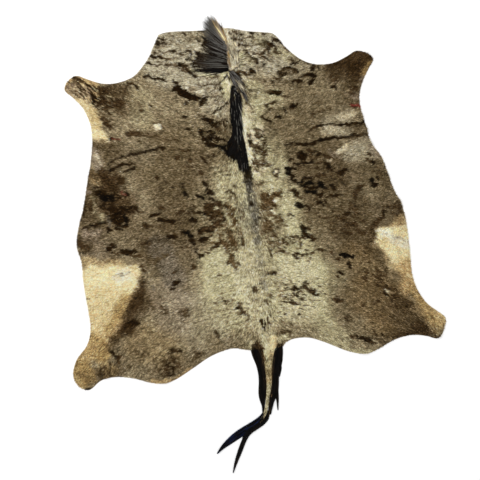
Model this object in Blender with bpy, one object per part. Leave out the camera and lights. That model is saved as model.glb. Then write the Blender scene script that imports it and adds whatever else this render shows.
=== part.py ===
"""Wildebeest hide rug: one tanned skin with its coat on, a mane on the neck and a haired tail.

The hide lies flat, coat side up. +Y runs along the spine towards the neck, +X is the right of the hide
seen from above, and the floor is z = 0. The origin is on the spine at mid back, on the face that lies on
the floor. All lengths are in metres and all angles in degrees.

The hide is one sheet: leather with its short coat lying on it. It is flat on the floor except where it
rises in folds, mostly at the flanks. Long hair lies in five pads with pointed locks at their rims: the
crest and the band of the mane on top of the hide, and three on the floor round the bare strip of the tail.
"""

import math
from typing import NamedTuple

import bpy
import numpy as np
from mathutils import Vector
from mathutils.geometry import delaunay_2d_cdt

# Thicknesses of the sheet; the coat is thinner along the hide's edge
LEATHER = 0.002
COAT = 0.003
COAT_AT_EDGE = 0.0012
COAT_EDGE_REACH = 0.016
HIDE_TOP = LEATHER + COAT

# Gap between pieces that lie on or beside each other
SEAT_GAP = 0.0003

# Spacing of the points on the hide's edge, on its face and along a fold
EDGE_STEP = 0.014
FACE_STEP = 0.034
FOLD_STEP = 0.026

# Rows of points across a fold, in half widths, and how close points may come to each other and to the edge
FOLD_ROWS = (-1.0, -0.5, 0.0, 0.5, 1.0)
FOLD_POINTS_APART = 0.009
FACE_OFF_EDGE = 0.015
FACE_OFF_FOLD = 0.020
FOLD_OFF_EDGE = 0.008

# A fold rises to its full height over this share of its length; a lift below FLAT_BELOW is none
FOLD_RISE = 0.5
FLAT_BELOW = 0.0002

# Spacing of the points on the hair pads' edges and faces
PAD_EDGE_STEP = 0.010
PAD_FACE_STEP = 0.011
PAD_POINTS_APART = 0.0044

# Hair pads: the height of the rim and of each pad's middle, and how far in from the rim a pad rises
RIM_HEIGHT = 0.0008
PAD_RISE = 0.0075
CREST_HEIGHT = 0.0085
BAND_HEIGHT = 0.0065
TAIL_HAIR_HEIGHT = 0.0080

# The lumps of lying hair: their share of a pad's height, their length and how far they slant
LUMP_SHARE = 0.16
LUMP_LENGTH = 0.031
LUMP_SLANT = 0.4

# A lock's root takes ROOT_SHARE of its stretch of rim. Each row of its taper has a share of its length
# and a share of its root's width.
ROOT_SHARE = 0.84
LOCK_TAPER = ((0.30, 0.86), (0.62, 0.60), (0.86, 0.30))
LOCK_RIDGE = (0.18, 0.46)
UNEVEN_LENGTHS = (1.0, 0.72, 0.88)

# Past the neck's edge the locks of the crest droop towards the floor
DROOP_START_Y = 0.777
DROOP_REACH = 0.040
DROOP = 0.0042


class EdgePoint(NamedTuple):
    """A place that the hide's edge passes through; at a corner the edge turns sharply."""

    x: float
    y: float
    corner: bool = False


class StripSection(NamedTuple):
    """A cross-section of the bare strip down the tail: its middle and its half width."""

    x: float
    y: float
    half_width: float


class Fold(NamedTuple):
    """A ridge of the lying hide, from its foot (x0, y0) inside the hide to (x1, y1) past its edge."""

    where: str
    x0: float
    y0: float
    x1: float
    y1: float
    half_width: float
    height: float


class Side(NamedTuple):
    """One side of a hair pad, through points. With a pitch, pointed locks stand along it.

    The locks' lengths and headings go evenly from the first to the last. A heading is measured from +X
    towards +Y.
    """

    through: tuple
    pitch: float = 0.0
    first_length: float = 0.0
    last_length: float = 0.0
    first_heading: float = 0.0
    last_heading: float = 0.0


class Lock(NamedTuple):
    """One pointed lock: its two roots, its tip and how far its middle bows to the left of its way."""

    x0: float
    y0: float
    tip_x: float
    tip_y: float
    x1: float
    y1: float
    bow: float = 0.0


# The hide's edge, clockwise from the left corner of the neck, one table for each stretch
NECK = (
    EdgePoint(-0.273, 0.778, True),
    EdgePoint(-0.238, 0.784),
    EdgePoint(-0.130, 0.775),
    EdgePoint(-0.060, 0.769),
    EdgePoint(0.020, 0.766),
    EdgePoint(0.100, 0.743),
    EdgePoint(0.170, 0.728),
    EdgePoint(0.210, 0.717),
)
RIGHT_SHOULDER = (
    EdgePoint(0.231, 0.692),
    EdgePoint(0.257, 0.649),
    EdgePoint(0.320, 0.587),
    EdgePoint(0.375, 0.563),
    EdgePoint(0.445, 0.559),
    EdgePoint(0.510, 0.580),
)
RIGHT_FORELEG = (
    EdgePoint(0.551, 0.597),
    EdgePoint(0.602, 0.575),
    EdgePoint(0.617, 0.550),
    EdgePoint(0.602, 0.529),
    EdgePoint(0.565, 0.475),
    EdgePoint(0.539, 0.415),
    EdgePoint(0.535, 0.350),
)
RIGHT_FLANK = (
    EdgePoint(0.547, 0.280),
    EdgePoint(0.560, 0.200),
    EdgePoint(0.593, 0.141),
    EdgePoint(0.611, 0.070),
    EdgePoint(0.628, -0.010),
    EdgePoint(0.650, -0.066),
    EdgePoint(0.659, -0.125),
)
RIGHT_HIND_LEG = (
    EdgePoint(0.660, -0.250),
    EdgePoint(0.655, -0.360),
    EdgePoint(0.663, -0.425),
    EdgePoint(0.699, -0.502),
    EdgePoint(0.740, -0.543),
    EdgePoint(0.771, -0.577),
    EdgePoint(0.761, -0.614),
    EdgePoint(0.741, -0.649),
    EdgePoint(0.719, -0.658),
    EdgePoint(0.690, -0.645),
)
RIGHT_RUMP = (
    EdgePoint(0.622, -0.629),
    EdgePoint(0.545, -0.638),
    EdgePoint(0.470, -0.668),
    EdgePoint(0.415, -0.681),
    EdgePoint(0.345, -0.661),
    EdgePoint(0.245, -0.606),
    EdgePoint(0.185, -0.580),
    EdgePoint(0.120, -0.576),
    EdgePoint(0.088, -0.585),
    EdgePoint(0.073, -0.601, True),
)
LEFT_RUMP = (
    EdgePoint(-0.067, -0.599, True),
    EdgePoint(-0.098, -0.592),
    EdgePoint(-0.140, -0.581),
    EdgePoint(-0.235, -0.600),
    EdgePoint(-0.320, -0.641),
    EdgePoint(-0.400, -0.679),
    EdgePoint(-0.445, -0.689),
    EdgePoint(-0.500, -0.680),
    EdgePoint(-0.580, -0.648),
    EdgePoint(-0.660, -0.633),
)
LEFT_HIND_LEG = (
    EdgePoint(-0.715, -0.640),
    EdgePoint(-0.772, -0.674),
    EdgePoint(-0.809, -0.653),
    EdgePoint(-0.828, -0.607),
    EdgePoint(-0.806, -0.541),
    EdgePoint(-0.755, -0.487),
    EdgePoint(-0.729, -0.425),
    EdgePoint(-0.727, -0.330),
    EdgePoint(-0.731, -0.220),
)
LEFT_FLANK = (
    EdgePoint(-0.727, -0.129),
    EdgePoint(-0.738, -0.062),
    EdgePoint(-0.724, 0.001),
    EdgePoint(-0.690, 0.090),
    EdgePoint(-0.655, 0.205),
    EdgePoint(-0.630, 0.285),
    EdgePoint(-0.611, 0.375),
)
LEFT_FORELEG = (
    EdgePoint(-0.609, 0.432),
    EdgePoint(-0.629, 0.508),
    EdgePoint(-0.668, 0.564),
    EdgePoint(-0.699, 0.600),
    EdgePoint(-0.680, 0.635),
    EdgePoint(-0.644, 0.655),
    EdgePoint(-0.600, 0.634),
    EdgePoint(-0.540, 0.607),
)
LEFT_SHOULDER = (
    EdgePoint(-0.480, 0.600),
    EdgePoint(-0.400, 0.618),
    EdgePoint(-0.358, 0.654),
    EdgePoint(-0.322, 0.694),
    EdgePoint(-0.295, 0.742),
)

# The bare strip of the tail, from the rump to where the tuft begins
TAIL_STRIP = (
    StripSection(0.004, -0.606, 0.034),
    StripSection(0.001, -0.634, 0.025),
    StripSection(-0.002, -0.670, 0.019),
    StripSection(-0.006, -0.715, 0.015),
    StripSection(-0.012, -0.760, 0.012),
    StripSection(-0.023, -0.805, 0.009),
    StripSection(-0.035, -0.850, 0.008),
    StripSection(-0.052, -0.884, 0.009),
    StripSection(-0.076, -0.910, 0.006),
)

FOLDS = (
    Fold("right shoulder, above the upper crease", 0.290, 0.338, 0.600, 0.322, 0.024, 0.0065),
    Fold("right flank, between the creases", 0.225, 0.268, 0.600, 0.262, 0.026, 0.0080),
    Fold("right flank, below the lower crease", 0.330, 0.210, 0.610, 0.196, 0.028, 0.0070),
    Fold("right belly", 0.430, 0.100, 0.660, 0.050, 0.034, 0.0040),
    Fold("right groin", 0.520, -0.030, 0.690, -0.070, 0.032, 0.0050),
    Fold("left shoulder, above the crease", -0.300, 0.322, -0.680, 0.300, 0.026, 0.0055),
    Fold("left flank, below the crease", -0.390, 0.252, -0.690, 0.228, 0.028, 0.0060),
    Fold("left belly", -0.520, 0.060, -0.760, 0.030, 0.032, 0.0045),
    Fold("left groin", -0.590, -0.085, -0.780, -0.095, 0.030, 0.0050),
    Fold("left foreleg", -0.500, 0.540, -0.705, 0.625, 0.040, 0.0050),
    Fold("right foreleg", 0.480, 0.530, 0.640, 0.580, 0.040, 0.0045),
    Fold("left hind leg", -0.678, -0.520, -0.690, -0.680, 0.020, 0.0055),
    Fold("right hind leg", 0.700, -0.545, 0.745, -0.690, 0.022, 0.0045),
    Fold("left rump", -0.470, -0.560, -0.440, -0.720, 0.036, 0.0045),
    Fold("right rump", 0.400, -0.570, 0.420, -0.720, 0.036, 0.0045),
)

# The crest of the mane, walked clockwise: it roots along the spine, lies to the left and ends in a tuft
# past the neck
MANE_CREST = (
    Side(((-0.088, 0.598), (-0.096, 0.640), (-0.088, 0.695)), 0.0125, 0.070, 0.046, 178, 152),
    Side(((-0.088, 0.695), (-0.080, 0.735), (-0.069, 0.771)), 0.0125, 0.038, 0.024, 146, 122),
    Side(((-0.069, 0.772), (-0.040, 0.779), (-0.006, 0.776)), 0.0090, 0.047, 0.036, 92, 130),
    Side(((-0.006, 0.776), (0.006, 0.742), (0.012, 0.690), (0.014, 0.640), (0.010, 0.590))),
    Side(((0.010, 0.590), (-0.030, 0.588), (-0.088, 0.598))),
)

# The band of the mane, walked clockwise: it runs from the whorl down the spine and ends in a point
MANE_BAND = (
    Side(((0.006, 0.578), (0.022, 0.576), (0.038, 0.562), (0.050, 0.530))),
    Side(((0.050, 0.530), (0.046, 0.470), (0.034, 0.410)), 0.0150, 0.042, 0.038, -62, -78),
    Side(((0.034, 0.410), (0.026, 0.330), (0.021, 0.240), (0.020, 0.165)), 0.0165, 0.038, 0.036, -74, -76),
    Side(((0.020, 0.164), (0.010, 0.154), (0.001, 0.160)), 0.0080, 0.034, 0.030, -84, -96),
    Side(((0.001, 0.162), (-0.008, 0.190), (-0.026, 0.202), (-0.044, 0.214)), 0.014, 0.030, 0.026, -102, -110),
    Side(((-0.045, 0.216), (-0.045, 0.236), (-0.020, 0.262))),
    Side(((-0.020, 0.264), (-0.014, 0.330), (-0.009, 0.410)), 0.0165, 0.036, 0.038, -112, -112),
    Side(((-0.009, 0.41), (-0.006, 0.48), (-0.001, 0.53), (0.006, 0.578)), 0.0165, 0.038, 0.034, -112, -108),
)

# The tail's hair beside the strip, walked clockwise: its outer sides, and the locks at its lower ends
TAIL_HAIR_END_Y = -0.800
RIGHT_TAIL_ENDS = (
    Lock(-0.0115, -0.8010, -0.0200, -0.8520, -0.0010, -0.8020),
    Lock(0.0010, -0.8020, 0.0120, -0.8660, 0.0140, -0.8000, 0.0020),
)
RIGHT_TAIL_OUTER = Side(
    ((0.015, -0.799), (0.023, -0.760), (0.028, -0.722), (0.045, -0.690), (0.057, -0.650), (0.064, -0.607)),
    pitch=0.0150,
    first_length=0.050,
    last_length=0.040,
    first_heading=-86,
    last_heading=-88,
)
LEFT_TAIL_OUTER = Side(
    ((-0.061, -0.604), (-0.051, -0.645), (-0.042, -0.700), (-0.044, -0.755), (-0.050, -0.799)),
    pitch=0.0150,
    first_length=0.040,
    last_length=0.044,
    first_heading=-100,
    last_heading=-112,
)
LEFT_TAIL_ENDS = (
    Lock(-0.0495, -0.8000, -0.0590, -0.8480, -0.0430, -0.8020),
    Lock(-0.0415, -0.8020, -0.0505, -0.8500, -0.0340, -0.8010),
)

# The tuft, walked clockwise: a cuff round the end of the strip, and the locks of its two forks
CUFF_TOP_Y = -0.868
CUFF_LEFT = Side(((-0.058, -0.876), (-0.082, -0.891), (-0.112, -0.904), (-0.152, -0.919)))
FORK_LOCKS = (
    Lock(-0.1520, -0.9200, -0.2400, -0.9810, -0.1515, -0.9310, -0.0010),
    Lock(-0.1512, -0.9320, -0.2670, -1.0130, -0.1500, -0.9440, -0.0060),
    Lock(-0.1497, -0.9450, -0.2050, -0.9780, -0.1485, -0.9550, -0.0010),
    Lock(-0.1455, -0.9570, -0.1600, -0.9920, -0.1360, -0.9555),
    Lock(-0.1330, -0.9550, -0.2110, -1.1030, -0.1235, -0.9520, -0.0040),
)
CUFF_RIGHT = Side(
    ((-0.122, -0.951), (-0.1, -0.939), (-0.06, -0.923), (-0.038, -0.906), (-0.026, -0.888), (-0.022, -0.868))
)


def curve_through(points, step):
    """Points about step apart on a centripetal Catmull-Rom curve through these, without the last."""
    knots = np.array(points, float)
    if len(knots) == 2:
        knots = np.array([knots[0], knots.mean(axis=0), knots[1]])
    padded = np.vstack([2 * knots[0] - knots[1], knots, 2 * knots[-1] - knots[-2]])
    found = []
    for p0, p1, p2, p3 in zip(padded, padded[1:], padded[2:], padded[3:]):
        t1 = math.sqrt(np.linalg.norm(p1 - p0))
        t2 = t1 + math.sqrt(np.linalg.norm(p2 - p1))
        t3 = t2 + math.sqrt(np.linalg.norm(p3 - p2))
        count = max(2, round(np.linalg.norm(p2 - p1) / step))
        t = np.linspace(t1, t2, count, endpoint=False)[:, None]
        a1 = ((t1 - t) * p0 + t * p1) / t1
        a2 = ((t2 - t) * p1 + (t - t1) * p2) / (t2 - t1)
        a3 = ((t3 - t) * p2 + (t - t2) * p3) / (t3 - t2)
        b1 = ((t2 - t) * a1 + t * a2) / t2
        b2 = ((t3 - t) * a2 + (t - t1) * a3) / (t3 - t1)
        found.append(((t2 - t) * b1 + (t - t1) * b2) / (t2 - t1))
    return np.vstack(found)


def strip_edges():
    """The right and left edges of the tail's strip, as edge points from the rump down."""
    middle = np.array([(row.x, row.y) for row in TAIL_STRIP])
    way = np.gradient(middle, axis=0)
    way /= np.linalg.norm(way, axis=1)[:, None]
    to_left = np.stack([way[:, 1], -way[:, 0]], axis=1)
    reach = np.array([row.half_width for row in TAIL_STRIP])[:, None]
    last = len(TAIL_STRIP) - 1
    edges = []
    for points in (middle - to_left * reach, middle + to_left * reach):
        edges.append([EdgePoint(x, y, number == last) for number, (x, y) in enumerate(points)])
    return edges


def hide_runs():
    """The hide's edge, clockwise, as five curves between corners.

    They are the round of the hide from the neck's left corner to the tail, the strip's right edge, its end
    and its left edge, and the way back to the neck.
    """
    right, left = strip_edges()
    rows = list(NECK + RIGHT_SHOULDER + RIGHT_FORELEG + RIGHT_FLANK + RIGHT_HIND_LEG + RIGHT_RUMP)
    rows += right + left[::-1]
    rows += LEFT_RUMP + LEFT_HIND_LEG + LEFT_FLANK + LEFT_FORELEG + LEFT_SHOULDER + (NECK[0],)
    corners = [number for number, row in enumerate(rows) if row.corner]
    runs = []
    for first, last in zip(corners, corners[1:]):
        knots = [(row.x, row.y) for row in rows[first : last + 1]]
        runs.append(curve_through(knots, EDGE_STEP))
    return runs


def moved_out(outline, gap):
    """A clockwise outline moved out by gap, with mitred corners."""
    way = np.roll(outline, -1, axis=0) - outline
    way /= np.linalg.norm(way, axis=1)[:, None]
    after = np.stack([-way[:, 1], way[:, 0]], axis=1)
    before = np.roll(after, 1, axis=0)
    spread = 1 + (after * before).sum(axis=1)
    return outline + gap * (after + before) / spread[:, None]


def tail_gap_line():
    """The line a seat gap outside the strip's edge, down its right side, round its end and back up."""
    runs = hide_runs()
    first = len(runs[0])
    last = first + sum(len(run) for run in runs[1:4])
    return moved_out(np.vstack(runs), SEAT_GAP)[first + 1 : last]


def distance_to_edge(points, outline):
    """Each point's distance to the nearest stretch of the outline."""
    along = np.roll(outline, -1, axis=0) - outline
    nearest = np.full(len(points), np.inf)
    for start, way in zip(outline, along):
        share = np.clip((points - start) @ way / (way @ way), 0.0, 1.0)
        gap = np.linalg.norm(points - start - share[:, None] * way, axis=1)
        nearest = np.minimum(nearest, gap)
    return nearest


def inside(points, outline):
    """True for each point that the outline goes round."""
    x, y = points.T
    crossed = np.zeros(len(points), bool)
    for (x0, y0), (x1, y1) in zip(outline, np.roll(outline, -1, axis=0)):
        if y0 == y1:
            continue
        spans = (y0 > y) != (y1 > y)
        crossed ^= spans & (x < x0 + (y - y0) / (y1 - y0) * (x1 - x0))
    return crossed


def clear_inside(points, outline, clear):
    """Those of the points that are inside the outline and more than clear away from it."""
    points = points[inside(points, outline)]
    return points[distance_to_edge(points, outline) > clear]


def grid_inside(outline, step, clear):
    """A triangular grid of points inside the outline, more than clear away from it."""
    low, high = outline.min(axis=0), outline.max(axis=0)
    rows = []
    for number, y in enumerate(np.arange(low[1], high[1], step * math.sqrt(3) / 2)):
        x = np.arange(low[0] + (number % 2) * step / 2, high[0], step)
        rows.append(np.stack([x, np.full_like(x, y)], axis=1))
    return clear_inside(np.vstack(rows), outline, clear)


def added_apart(points, more, least):
    """The points, and those of more that are further than least from all of them."""
    points, more = np.array(points), np.array(more)
    apart = np.linalg.norm(more[:, None, :] - points[None, :, :], axis=2).min(axis=1)
    return np.vstack([points, more[apart > least]])


def eased(share):
    """Rises smoothly from 0 to 1 as share goes from 0 to 1."""
    share = np.clip(share, 0.0, 1.0)
    return share * share * (3 - 2 * share)


def fold_way(fold):
    """A fold's foot, the way to its far end, its length and the unit direction across it."""
    foot = np.array((fold.x0, fold.y0))
    way = np.array((fold.x1, fold.y1)) - foot
    length = np.linalg.norm(way)
    return foot, way, length, np.array((-way[1], way[0])) / length


def hide_lift(points):
    """How far the hide is off the floor at each point.

    It is the sum of the folds. A fold's section is one wave of a raised cosine, and it rises from its foot.
    """
    lift = np.zeros(len(points))
    for fold in FOLDS:
        foot, way, length, across = fold_way(fold)
        along = (points - foot) @ way / length**2
        off_middle = np.clip((points - foot) @ across / fold.half_width, -1.0, 1.0)
        section = 0.5 + 0.5 * np.cos(np.pi * off_middle)
        lift += fold.height * section * eased(along / FOLD_RISE)
    return np.where(lift < FLAT_BELOW, 0.0, lift)


def fold_points(outline):
    """Rows of points along each fold, so that the triangles follow it, none too close to another."""
    found = None
    for fold in FOLDS:
        foot, way, length, across = fold_way(fold)
        shares = np.linspace(0, 1, round(length / FOLD_STEP) + 1)[:, None]
        rows = [foot + shares * way + row * fold.half_width * across for row in FOLD_ROWS]
        points = clear_inside(np.vstack(rows), outline, FOLD_OFF_EDGE)
        found = points if found is None else added_apart(found, points, FOLD_POINTS_APART)
    return found


def sheet_mesh(name, outline, inner, heights):
    """A closed body between a lower and an upper surface over the outline; heights gives both at points."""
    ahead = np.roll(outline, -1, axis=0)
    twice_area = (outline[:, 0] * ahead[:, 1] - ahead[:, 0] * outline[:, 1]).sum()
    counter_clockwise = outline if twice_area > 0 else outline[::-1]
    flat = [Vector(point) for point in np.vstack([counter_clockwise, inner])]
    rim = list(range(len(outline)))
    made, _, faces, *_ = delaunay_2d_cdt(flat, [], [rim], 1, 1e-7)
    points = np.array([tuple(point) for point in made])
    low, high = heights(points)
    count = len(points)
    vertices = np.vstack([np.column_stack([points, low]), np.column_stack([points, high])])
    edges = {edge for a, b, c in faces for edge in ((a, b), (b, c), (c, a))}
    walls = [(a, b, b + count, a + count) for a, b in sorted(edges) if (b, a) not in edges]
    upper = [(a + count, b + count, c + count) for a, b, c in faces]
    lower = [(c, b, a) for a, b, c in faces]
    mesh = bpy.data.meshes.new(name)
    mesh.from_pydata(vertices.tolist(), [], upper + lower + walls)
    return mesh


def add_material(name, colour, roughness):
    """A plain material in a piece's main colour."""
    made = bpy.data.materials.new(name)
    made.use_nodes = True
    shader = made.node_tree.nodes["Principled BSDF"]
    shader.inputs["Base Color"].default_value = (*colour, 1.0)
    shader.inputs["Roughness"].default_value = roughness
    shader.inputs["Metallic"].default_value = 0.0
    return made


def add_piece(name, mesh, finish):
    """Puts a mesh into the scene as one piece with its finish."""
    piece = bpy.data.objects.new(name, mesh)
    mesh.materials.append(finish)
    bpy.context.scene.collection.objects.link(piece)
    mesh.shade_smooth()
    mesh.set_sharp_from_angle(angle=math.radians(40))


def make_hide():
    """The hide: a sheet on the floor with its folds, its coat thinner along the edge."""
    outline = np.vstack(hide_runs())
    inner = added_apart(fold_points(outline), grid_inside(outline, FACE_STEP, FACE_OFF_EDGE), FACE_OFF_FOLD)

    def heights(points):
        lift = hide_lift(points)
        inwards = eased(distance_to_edge(points, outline) / COAT_EDGE_REACH)
        return lift, lift + LEATHER + COAT_AT_EDGE + (COAT - COAT_AT_EDGE) * inwards

    coat = add_material("hide_coat", (0.36, 0.31, 0.20), 0.75)
    add_piece("hide", sheet_mesh("hide", outline, inner, heights), coat)


def lock_outline(lock):
    """A pointed lock's outline from its first root round its tip, and the points of its ridge."""
    first, last = np.array((lock.x0, lock.y0)), np.array((lock.x1, lock.y1))
    middle, half = (first + last) / 2, (first - last) / 2
    tip = np.array((lock.tip_x, lock.tip_y))
    way = tip - middle
    to_left = np.array((-way[1], way[0])) / np.linalg.norm(way)

    def bowed(share):
        return middle + way * share + to_left * lock.bow * math.sin(math.pi * share)

    out = [bowed(share) + half * width for share, width in LOCK_TAPER]
    back = [bowed(share) - half * width for share, width in reversed(LOCK_TAPER)]
    ridge = [bowed(share) for share in LOCK_RIDGE]
    return [first, *out, tip, *back, last], ridge


def locks_along(side):
    """The locks that stand along a pad's side, evenly spaced and of uneven lengths."""
    walk = np.vstack([curve_through(side.through, side.pitch / 8), side.through[-1]])
    passed = np.concatenate([[0], np.cumsum(np.linalg.norm(np.diff(walk, axis=0), axis=1))])
    count = round(passed[-1] / side.pitch)
    half_root = passed[-1] / count * ROOT_SHARE / 2
    locks = []
    for number in range(count):
        share = (number + 0.5) / count
        ends = passed[-1] * share + np.array((-half_root, half_root))
        (x0, x1), (y0, y1) = (np.interp(ends, passed, walk[:, axis]) for axis in (0, 1))
        heading = math.radians(side.first_heading + (side.last_heading - side.first_heading) * share)
        length = side.first_length + (side.last_length - side.first_length) * share
        length *= UNEVEN_LENGTHS[number % len(UNEVEN_LENGTHS)]
        tip_x = (x0 + x1) / 2 + length * math.cos(heading)
        tip_y = (y0 + y1) / 2 + length * math.sin(heading)
        locks.append(Lock(x0, y0, tip_x, tip_y, x1, y1))
    return locks


def rim_of(*pieces):
    """The outline and ridge points of a pad whose rim is these sides, single locks and rows of points."""
    outline, ridges = [], []
    for piece in pieces:
        if isinstance(piece, np.ndarray):
            outline += list(piece)
        elif isinstance(piece, Side) and not piece.pitch:
            outline += list(curve_through(piece.through, PAD_EDGE_STEP))
        else:
            for lock in locks_along(piece) if isinstance(piece, Side) else [piece]:
                points, ridge = lock_outline(lock)
                outline += points
                ridges += ridge
    return np.array(outline), ridges


def make_pad(name, rim, base, height, finish, droops=False):
    """A lumpy pad of lying hair on a level at base, which rises from its rim to its height."""
    outline, ridges = rim
    inner = added_apart(ridges, grid_inside(outline, PAD_FACE_STEP, PAD_POINTS_APART), PAD_POINTS_APART)

    def heights(points):
        x, y = points.T
        rise = 1 - np.exp(-distance_to_edge(points, outline) / PAD_RISE)
        turn = math.pi / LUMP_LENGTH
        lumps = np.sin(2 * turn * x) * np.sin(turn * (y + LUMP_SLANT * x))
        low = np.full(len(points), base)
        if droops:
            low -= DROOP * eased((y - DROOP_START_Y) / DROOP_REACH)
        return low, low + RIM_HEIGHT + height * rise * (1 + LUMP_SHARE * lumps)

    add_piece(name, sheet_mesh(name, outline, inner, heights), finish)


def make_mane():
    """The mane's two pads, which lie on the hide."""
    black = add_material("mane_hair", (0.035, 0.034, 0.038), 0.55)
    base = HIDE_TOP + SEAT_GAP
    make_pad("mane_crest", rim_of(*MANE_CREST), base, CREST_HEIGHT, black, droops=True)
    make_pad("mane_band", rim_of(*MANE_BAND), base, BAND_HEIGHT, black)


def make_tail_hair():
    """The tail's hair right and left of the strip and the tuft round the strip's end, all on the floor."""
    black = add_material("tail_hair", (0.012, 0.013, 0.018), 0.50)
    line = tail_gap_line()
    lowest = line[:, 1].argmin()
    down, up = line[:lowest], line[lowest:]
    beside_right = down[down[:, 1] > TAIL_HAIR_END_Y]
    beside_left = up[up[:, 1] > TAIL_HAIR_END_Y]
    round_end = line[line[:, 1] < CUFF_TOP_Y]
    rims = {
        "tail_hair_right": rim_of(beside_right, *RIGHT_TAIL_ENDS, RIGHT_TAIL_OUTER),
        "tail_hair_left": rim_of(beside_left, LEFT_TAIL_OUTER, *LEFT_TAIL_ENDS),
        "tail_tuft": rim_of(round_end, CUFF_LEFT, *FORK_LOCKS, CUFF_RIGHT),
    }
    for name, rim in rims.items():
        make_pad(name, rim, 0.0, TAIL_HAIR_HEIGHT, black)


def clear_scene():
    """Removes whatever the scene starts with."""
    for found in list(bpy.data.objects):
        bpy.data.objects.remove(found, do_unlink=True)


def main():
    """Builds every piece."""
    clear_scene()
    make_hide()
    make_mane()
    make_tail_hair()


main()
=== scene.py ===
"""The wildebeest hide rug with its coat: short hair with its marks, the mane and the haired tail.

The hide's surface is a function of two parameters, the station along the spine and the share of the way
from the left edge over the spine to the right edge. Short hairs root all over it and lie along its ribs.
The mane and the tail carry long strands, which are tapered three-sided tubes along curved paths. The
short coat's colours are worked out near every hair's root and near its tip, from soft zones, marks and
speckles in the hide's own plan.

Metres, +Y along the spine to the neck, +X to the hide's right seen from above, +Z up. Tables whose
columns are lengths in the plan are in millimetres, and say so.
"""

import logging
import math
from collections.abc import Callable, Iterable
from dataclasses import dataclass, field
from enum import Enum
from typing import NamedTuple, TypeVar

import bpy
import numpy as np
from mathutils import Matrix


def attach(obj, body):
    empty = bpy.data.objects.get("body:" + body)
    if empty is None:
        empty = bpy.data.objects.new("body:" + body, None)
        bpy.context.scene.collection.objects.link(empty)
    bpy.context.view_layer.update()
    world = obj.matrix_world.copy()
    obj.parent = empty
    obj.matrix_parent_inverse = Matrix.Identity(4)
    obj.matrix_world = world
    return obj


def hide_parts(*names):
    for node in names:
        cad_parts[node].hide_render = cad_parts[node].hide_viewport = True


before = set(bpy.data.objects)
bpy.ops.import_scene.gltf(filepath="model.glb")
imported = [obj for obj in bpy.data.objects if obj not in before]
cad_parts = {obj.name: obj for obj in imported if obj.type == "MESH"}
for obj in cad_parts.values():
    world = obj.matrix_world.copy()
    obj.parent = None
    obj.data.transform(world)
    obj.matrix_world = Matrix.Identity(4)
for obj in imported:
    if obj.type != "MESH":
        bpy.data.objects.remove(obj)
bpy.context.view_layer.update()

MM = 0.001
Row = TypeVar("Row")
log = logging.getLogger("hide")


class Tone(Enum):
    """The colours of hair and skin, and the painted sheen of the black tail hair, as sRGB bytes."""

    DUN = (140, 127, 99)
    PALE = (202, 194, 152)
    GREY = (180, 171, 145)
    OLIVE = (114, 101, 75)
    BROWN = (84, 71, 51)
    CREAM = (252, 225, 170)
    WHITE = (255, 238, 200)
    SAND = (196, 164, 114)
    GOLD = (206, 176, 124)
    TAN = (166, 138, 88)
    FAWN = (118, 98, 66)
    RUST = (82, 65, 42)
    UMBER = (56, 43, 29)
    INK = (25, 17, 10)
    BLACK = (9, 7, 6)
    SLATE = (88, 86, 80)
    STEEL = (100, 97, 92)
    MAUVE = (142, 128, 110)
    # Painted sheen: the blue that light gives the black tail hair's streaks and tips
    SHEEN_NAVY = (18, 30, 62)
    SCAR = (122, 52, 46)
    LEATHER = (196, 178, 148)

    @property
    def share(self) -> np.ndarray:
        """The tone as shares between 0 and 1."""
        return np.array(self.value) / 255


# The tones' names on their own, for the tables, in the order of the list above
(DUN, PALE, GREY, OLIVE, BROWN, CREAM, WHITE, SAND, GOLD, TAN, FAWN, RUST, UMBER, INK, BLACK,
 SLATE, STEEL, MAUVE, SHEEN_NAVY, SCAR, LEATHER) = Tone


def linear(shares: np.ndarray) -> np.ndarray:
    """sRGB shares as linear light."""
    return np.where(shares <= 0.04045, shares / 12.92, ((shares + 0.055) / 1.055) ** 2.4)


class Mark(NamedTuple):
    """A mark or soft zone of the coat, round a line from (x0, y0) to (x1, y1), in millimetres.

    It has its tone in full up to the half width, and fades over the soft width. Strength is how far it
    covers what lies below, and broken is how much of it gaps take away.
    """

    x0: float
    y0: float
    x1: float
    y1: float
    half_width: float
    tone: Tone
    soft: float = 3.0
    strength: float = 0.95
    broken: float = 0.0


class Speckle(NamedTuple):
    """A field of small spots round (x, y), in millimetres; share is how much of it they cover."""

    x: float
    y: float
    reach_x: float
    reach_y: float
    spot: float
    share: float
    tone: Tone
    strength: float = 0.8


class Ridge(NamedTuple):
    """A fold or crease of the lying hide from (x0, y0) to (x1, y1), in millimetres."""

    x0: float
    y0: float
    x1: float
    y1: float
    half_width: float
    height: float


class Rib(NamedTuple):
    """Two ribs from the spine to the left and right edges, in millimetres; sweep bows them backwards."""

    spine_y: float
    left_x: float
    left_y: float
    right_x: float
    right_y: float
    sweep: float


def table(kind: Callable[..., Row], rows: Iterable[tuple]) -> tuple[Row, ...]:
    """A table's rows from their plain values, which stand in the order of the kind's columns."""
    return tuple(kind(*row) for row in rows)


# The spine and the middle of the tail's strip, in millimetres, from the neck back
SPINE = (
    (0, 767),
    (0, 300),
    (0, -500),
    (4, -606),
    (1, -634),
    (-2, -670),
    (-6, -715),
    (-12, -760),
    (-23, -805),
    (-35, -850),
    (-52, -884),
    (-76, -910),
)

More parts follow.
